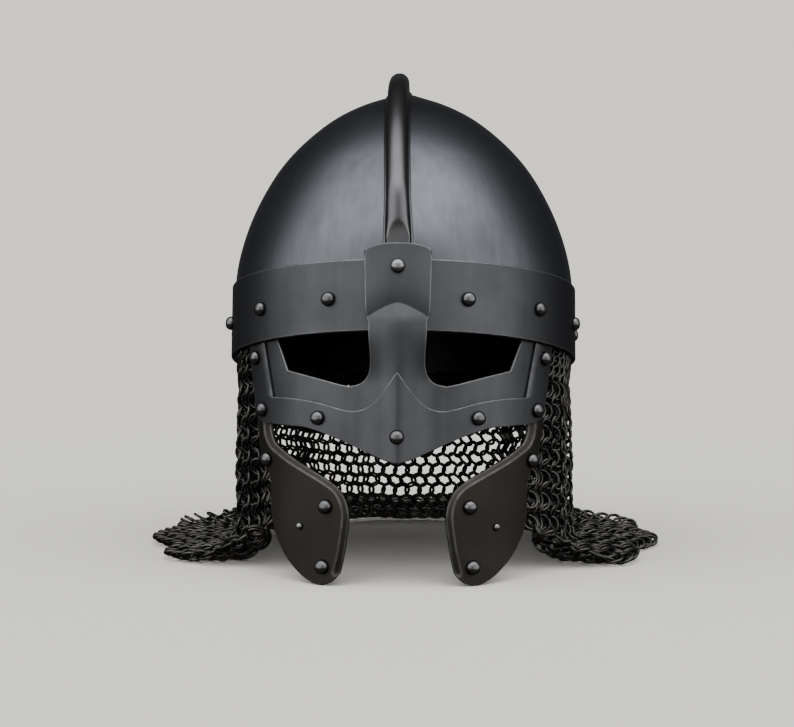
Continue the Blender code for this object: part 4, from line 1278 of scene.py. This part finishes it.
def hang_mail():
    rings = ring_places()
    for seed, (name, low, high) in enumerate(MAIL_PARTS, MAIL_SEED):
        points, faces, tone = ring_mesh([ring for ring in rings if low <= ring[4] < high], seed)
        mesh = bpy.data.meshes.new(name)
        mesh.from_pydata(points.tolist(), [], faces.tolist())
        shade = mesh.attributes.new("ring_tone", "FLOAT", "POINT")
        shade.data.foreach_set("value", tone.astype(np.float32))
        mesh.materials.append(black_mail)
        mesh.shade_smooth()
        piece = put_in_scene(name, mesh)
        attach(piece, "root")
        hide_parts("mail_aventail")


hang_mail()


# Floor
# A plain pale studio floor that fades out into the pale ground behind it.

FLOOR_COLOUR = (0.76, 0.73, 0.68)
FLOOR_IN_STEEL = (0.10, 0.09, 0.08)
FLOOR_ROUGHNESS = 0.55
FLOOR_SHEEN = 0.25
FLOOR_REACH = 2.4
FLOOR_SIDES = 96
FADE_FROM = 0.55
FADE_TO = 1.60


def make_floor():
    angles = [tau * step / FLOOR_SIDES for step in range(FLOOR_SIDES)]
    points = [(FLOOR_REACH * sin(angle), FLOOR_REACH * cos(angle), 0) for angle in angles]
    mesh = bpy.data.meshes.new("studio_floor")
    mesh.from_pydata(points, [], [tuple(range(FLOOR_SIDES))[::-1]])
    material, tree, shader = new_material("studio_floor")
    fill(tree, shader, {
        "Base Color": FLOOR_COLOUR,
        "Roughness": FLOOR_ROUGHNESS,
        "Specular IOR Level": FLOOR_SHEEN,
    })
    place = add_node(tree, "TexCoord").outputs["Object"]
    reach = add_node(tree, "VectorMath", {0: place}, operation="LENGTH").outputs["Value"]
    fade = ranged(tree, reach, FADE_FROM, FADE_TO, 0, 1)
    clear = add_node(tree, "BsdfTransparent").outputs[0]
    faded = add_node(tree, "MixShader", {0: fade, 1: shader.outputs[0], 2: clear}).outputs[0]
    dull = add_node(tree, "Emission", {"Color": FLOOR_IN_STEEL}).outputs[0]
    mirrored = add_node(tree, "LightPath").outputs["Is Glossy Ray"]
    surface = add_node(tree, "MixShader", {0: mirrored, 1: faded, 2: dull}).outputs[0]
    fill(tree, tree.nodes["Material Output"], {"Surface": surface})
    mesh.materials.append(material)
    floor = put_in_scene("studio_floor", mesh)


make_floor()


# Light
# A bright room in front of the helmet and a dark one behind it, brightest high up, and a pale ground where
# the camera looks past the floor. Straight ahead and low the room is dimmer.

SKY_COLOUR = (1.16, 1.10, 1.00)
ROOM_COLOUR = (0.97, 0.985, 1.0)
ROOM_BRIGHT = 2.0
ROOM_DARK = 0.14
FRONT_FROM = -0.38
FRONT_TO = 0.12
DIM_EDGE = 0.05
DIM_HALF_WIDTH = 0.85
DIM_FULL = 0.55
DIM_TOP = 0.76
DIM_SHARE = 0.75
DIM_CENTRE = 0.12
HIGH_FROM = 0.45
HIGH_TO = 0.96
HIGH_GAIN = 0.75
HIGH_REACH = 0.08


def make_room():
    world = bpy.data.worlds.new("studio")
    bpy.context.scene.world = world
    world.use_nodes = True
    tree = world.node_tree
    place = add_node(tree, "TexCoord").outputs["Generated"]
    split = add_node(tree, "SeparateXYZ", {0: place}).outputs
    ahead = computed(tree, "MULTIPLY", split["Y"], -1.0)
    high = ranged(tree, split["Z"], HIGH_FROM, HIGH_TO, 0, 1)
    leaning = computed(tree, "ADD", ahead, computed(tree, "MULTIPLY", high, HIGH_REACH))
    front = ranged(tree, leaning, FRONT_FROM, FRONT_TO, 0, 1)
    aside = computed(tree, "ABSOLUTE", computed(tree, "SUBTRACT", split["X"], DIM_CENTRE), 0.0)
    middle = ranged(tree, aside, DIM_EDGE, DIM_HALF_WIDTH, 1, 0)
    low = ranged(tree, split["Z"], DIM_FULL, DIM_TOP, 1, 0)
    dim = computed(tree, "MULTIPLY", computed(tree, "MULTIPLY", middle, low), DIM_SHARE)
    gain = computed(tree, "ADD", computed(tree, "MULTIPLY", high, HIGH_GAIN), 1.0)
    light = computed(tree, "MULTIPLY", front, computed(tree, "SUBTRACT", 1.0, dim))
    light = computed(tree, "MULTIPLY", light, gain)
    strength = computed(tree, "ADD", computed(tree, "MULTIPLY", light, ROOM_BRIGHT), ROOM_DARK)
    room = fill(tree, tree.nodes["Background"], {"Color": ROOM_COLOUR, "Strength": strength}).outputs[0]
    pale = add_node(tree, "Background", {"Color": SKY_COLOUR}).outputs[0]
    seen = add_node(tree, "LightPath").outputs["Is Camera Ray"]
    surface = add_node(tree, "MixShader", {0: seen, 1: room, 2: pale}).outputs[0]
    fill(tree, tree.nodes["World Output"], {"Surface": surface})


make_room()


# Camera
# Stands as the photograph was taken: almost in front, a little to the helmet's left and above its brow.

CAMERA_AWAY = 1.35
CAMERA_TURN = radians(1.8)
CAMERA_SIDE = -0.0041
CAMERA_HEIGHT = 0.2336
CAMERA_PITCH = radians(4.893)
CAMERA_LENS = 97.32
CAMERA_SENSOR = 36


def make_camera():
    data = bpy.data.cameras.new("camera")
    data.lens = CAMERA_LENS
    data.sensor_width = CAMERA_SENSOR
    data.sensor_fit = "HORIZONTAL"
    camera = put_in_scene("camera", data)
    camera.location = (
        CAMERA_AWAY * sin(CAMERA_TURN) + CAMERA_SIDE * cos(CAMERA_TURN),
        -CAMERA_AWAY * cos(CAMERA_TURN) + CAMERA_SIDE * sin(CAMERA_TURN) + RIM_CENTRE.y,
        CAMERA_HEIGHT,
    )
    camera.rotation_euler = (pi / 2 - CAMERA_PITCH, 0, CAMERA_TURN)
    bpy.context.scene.camera = camera


make_camera()
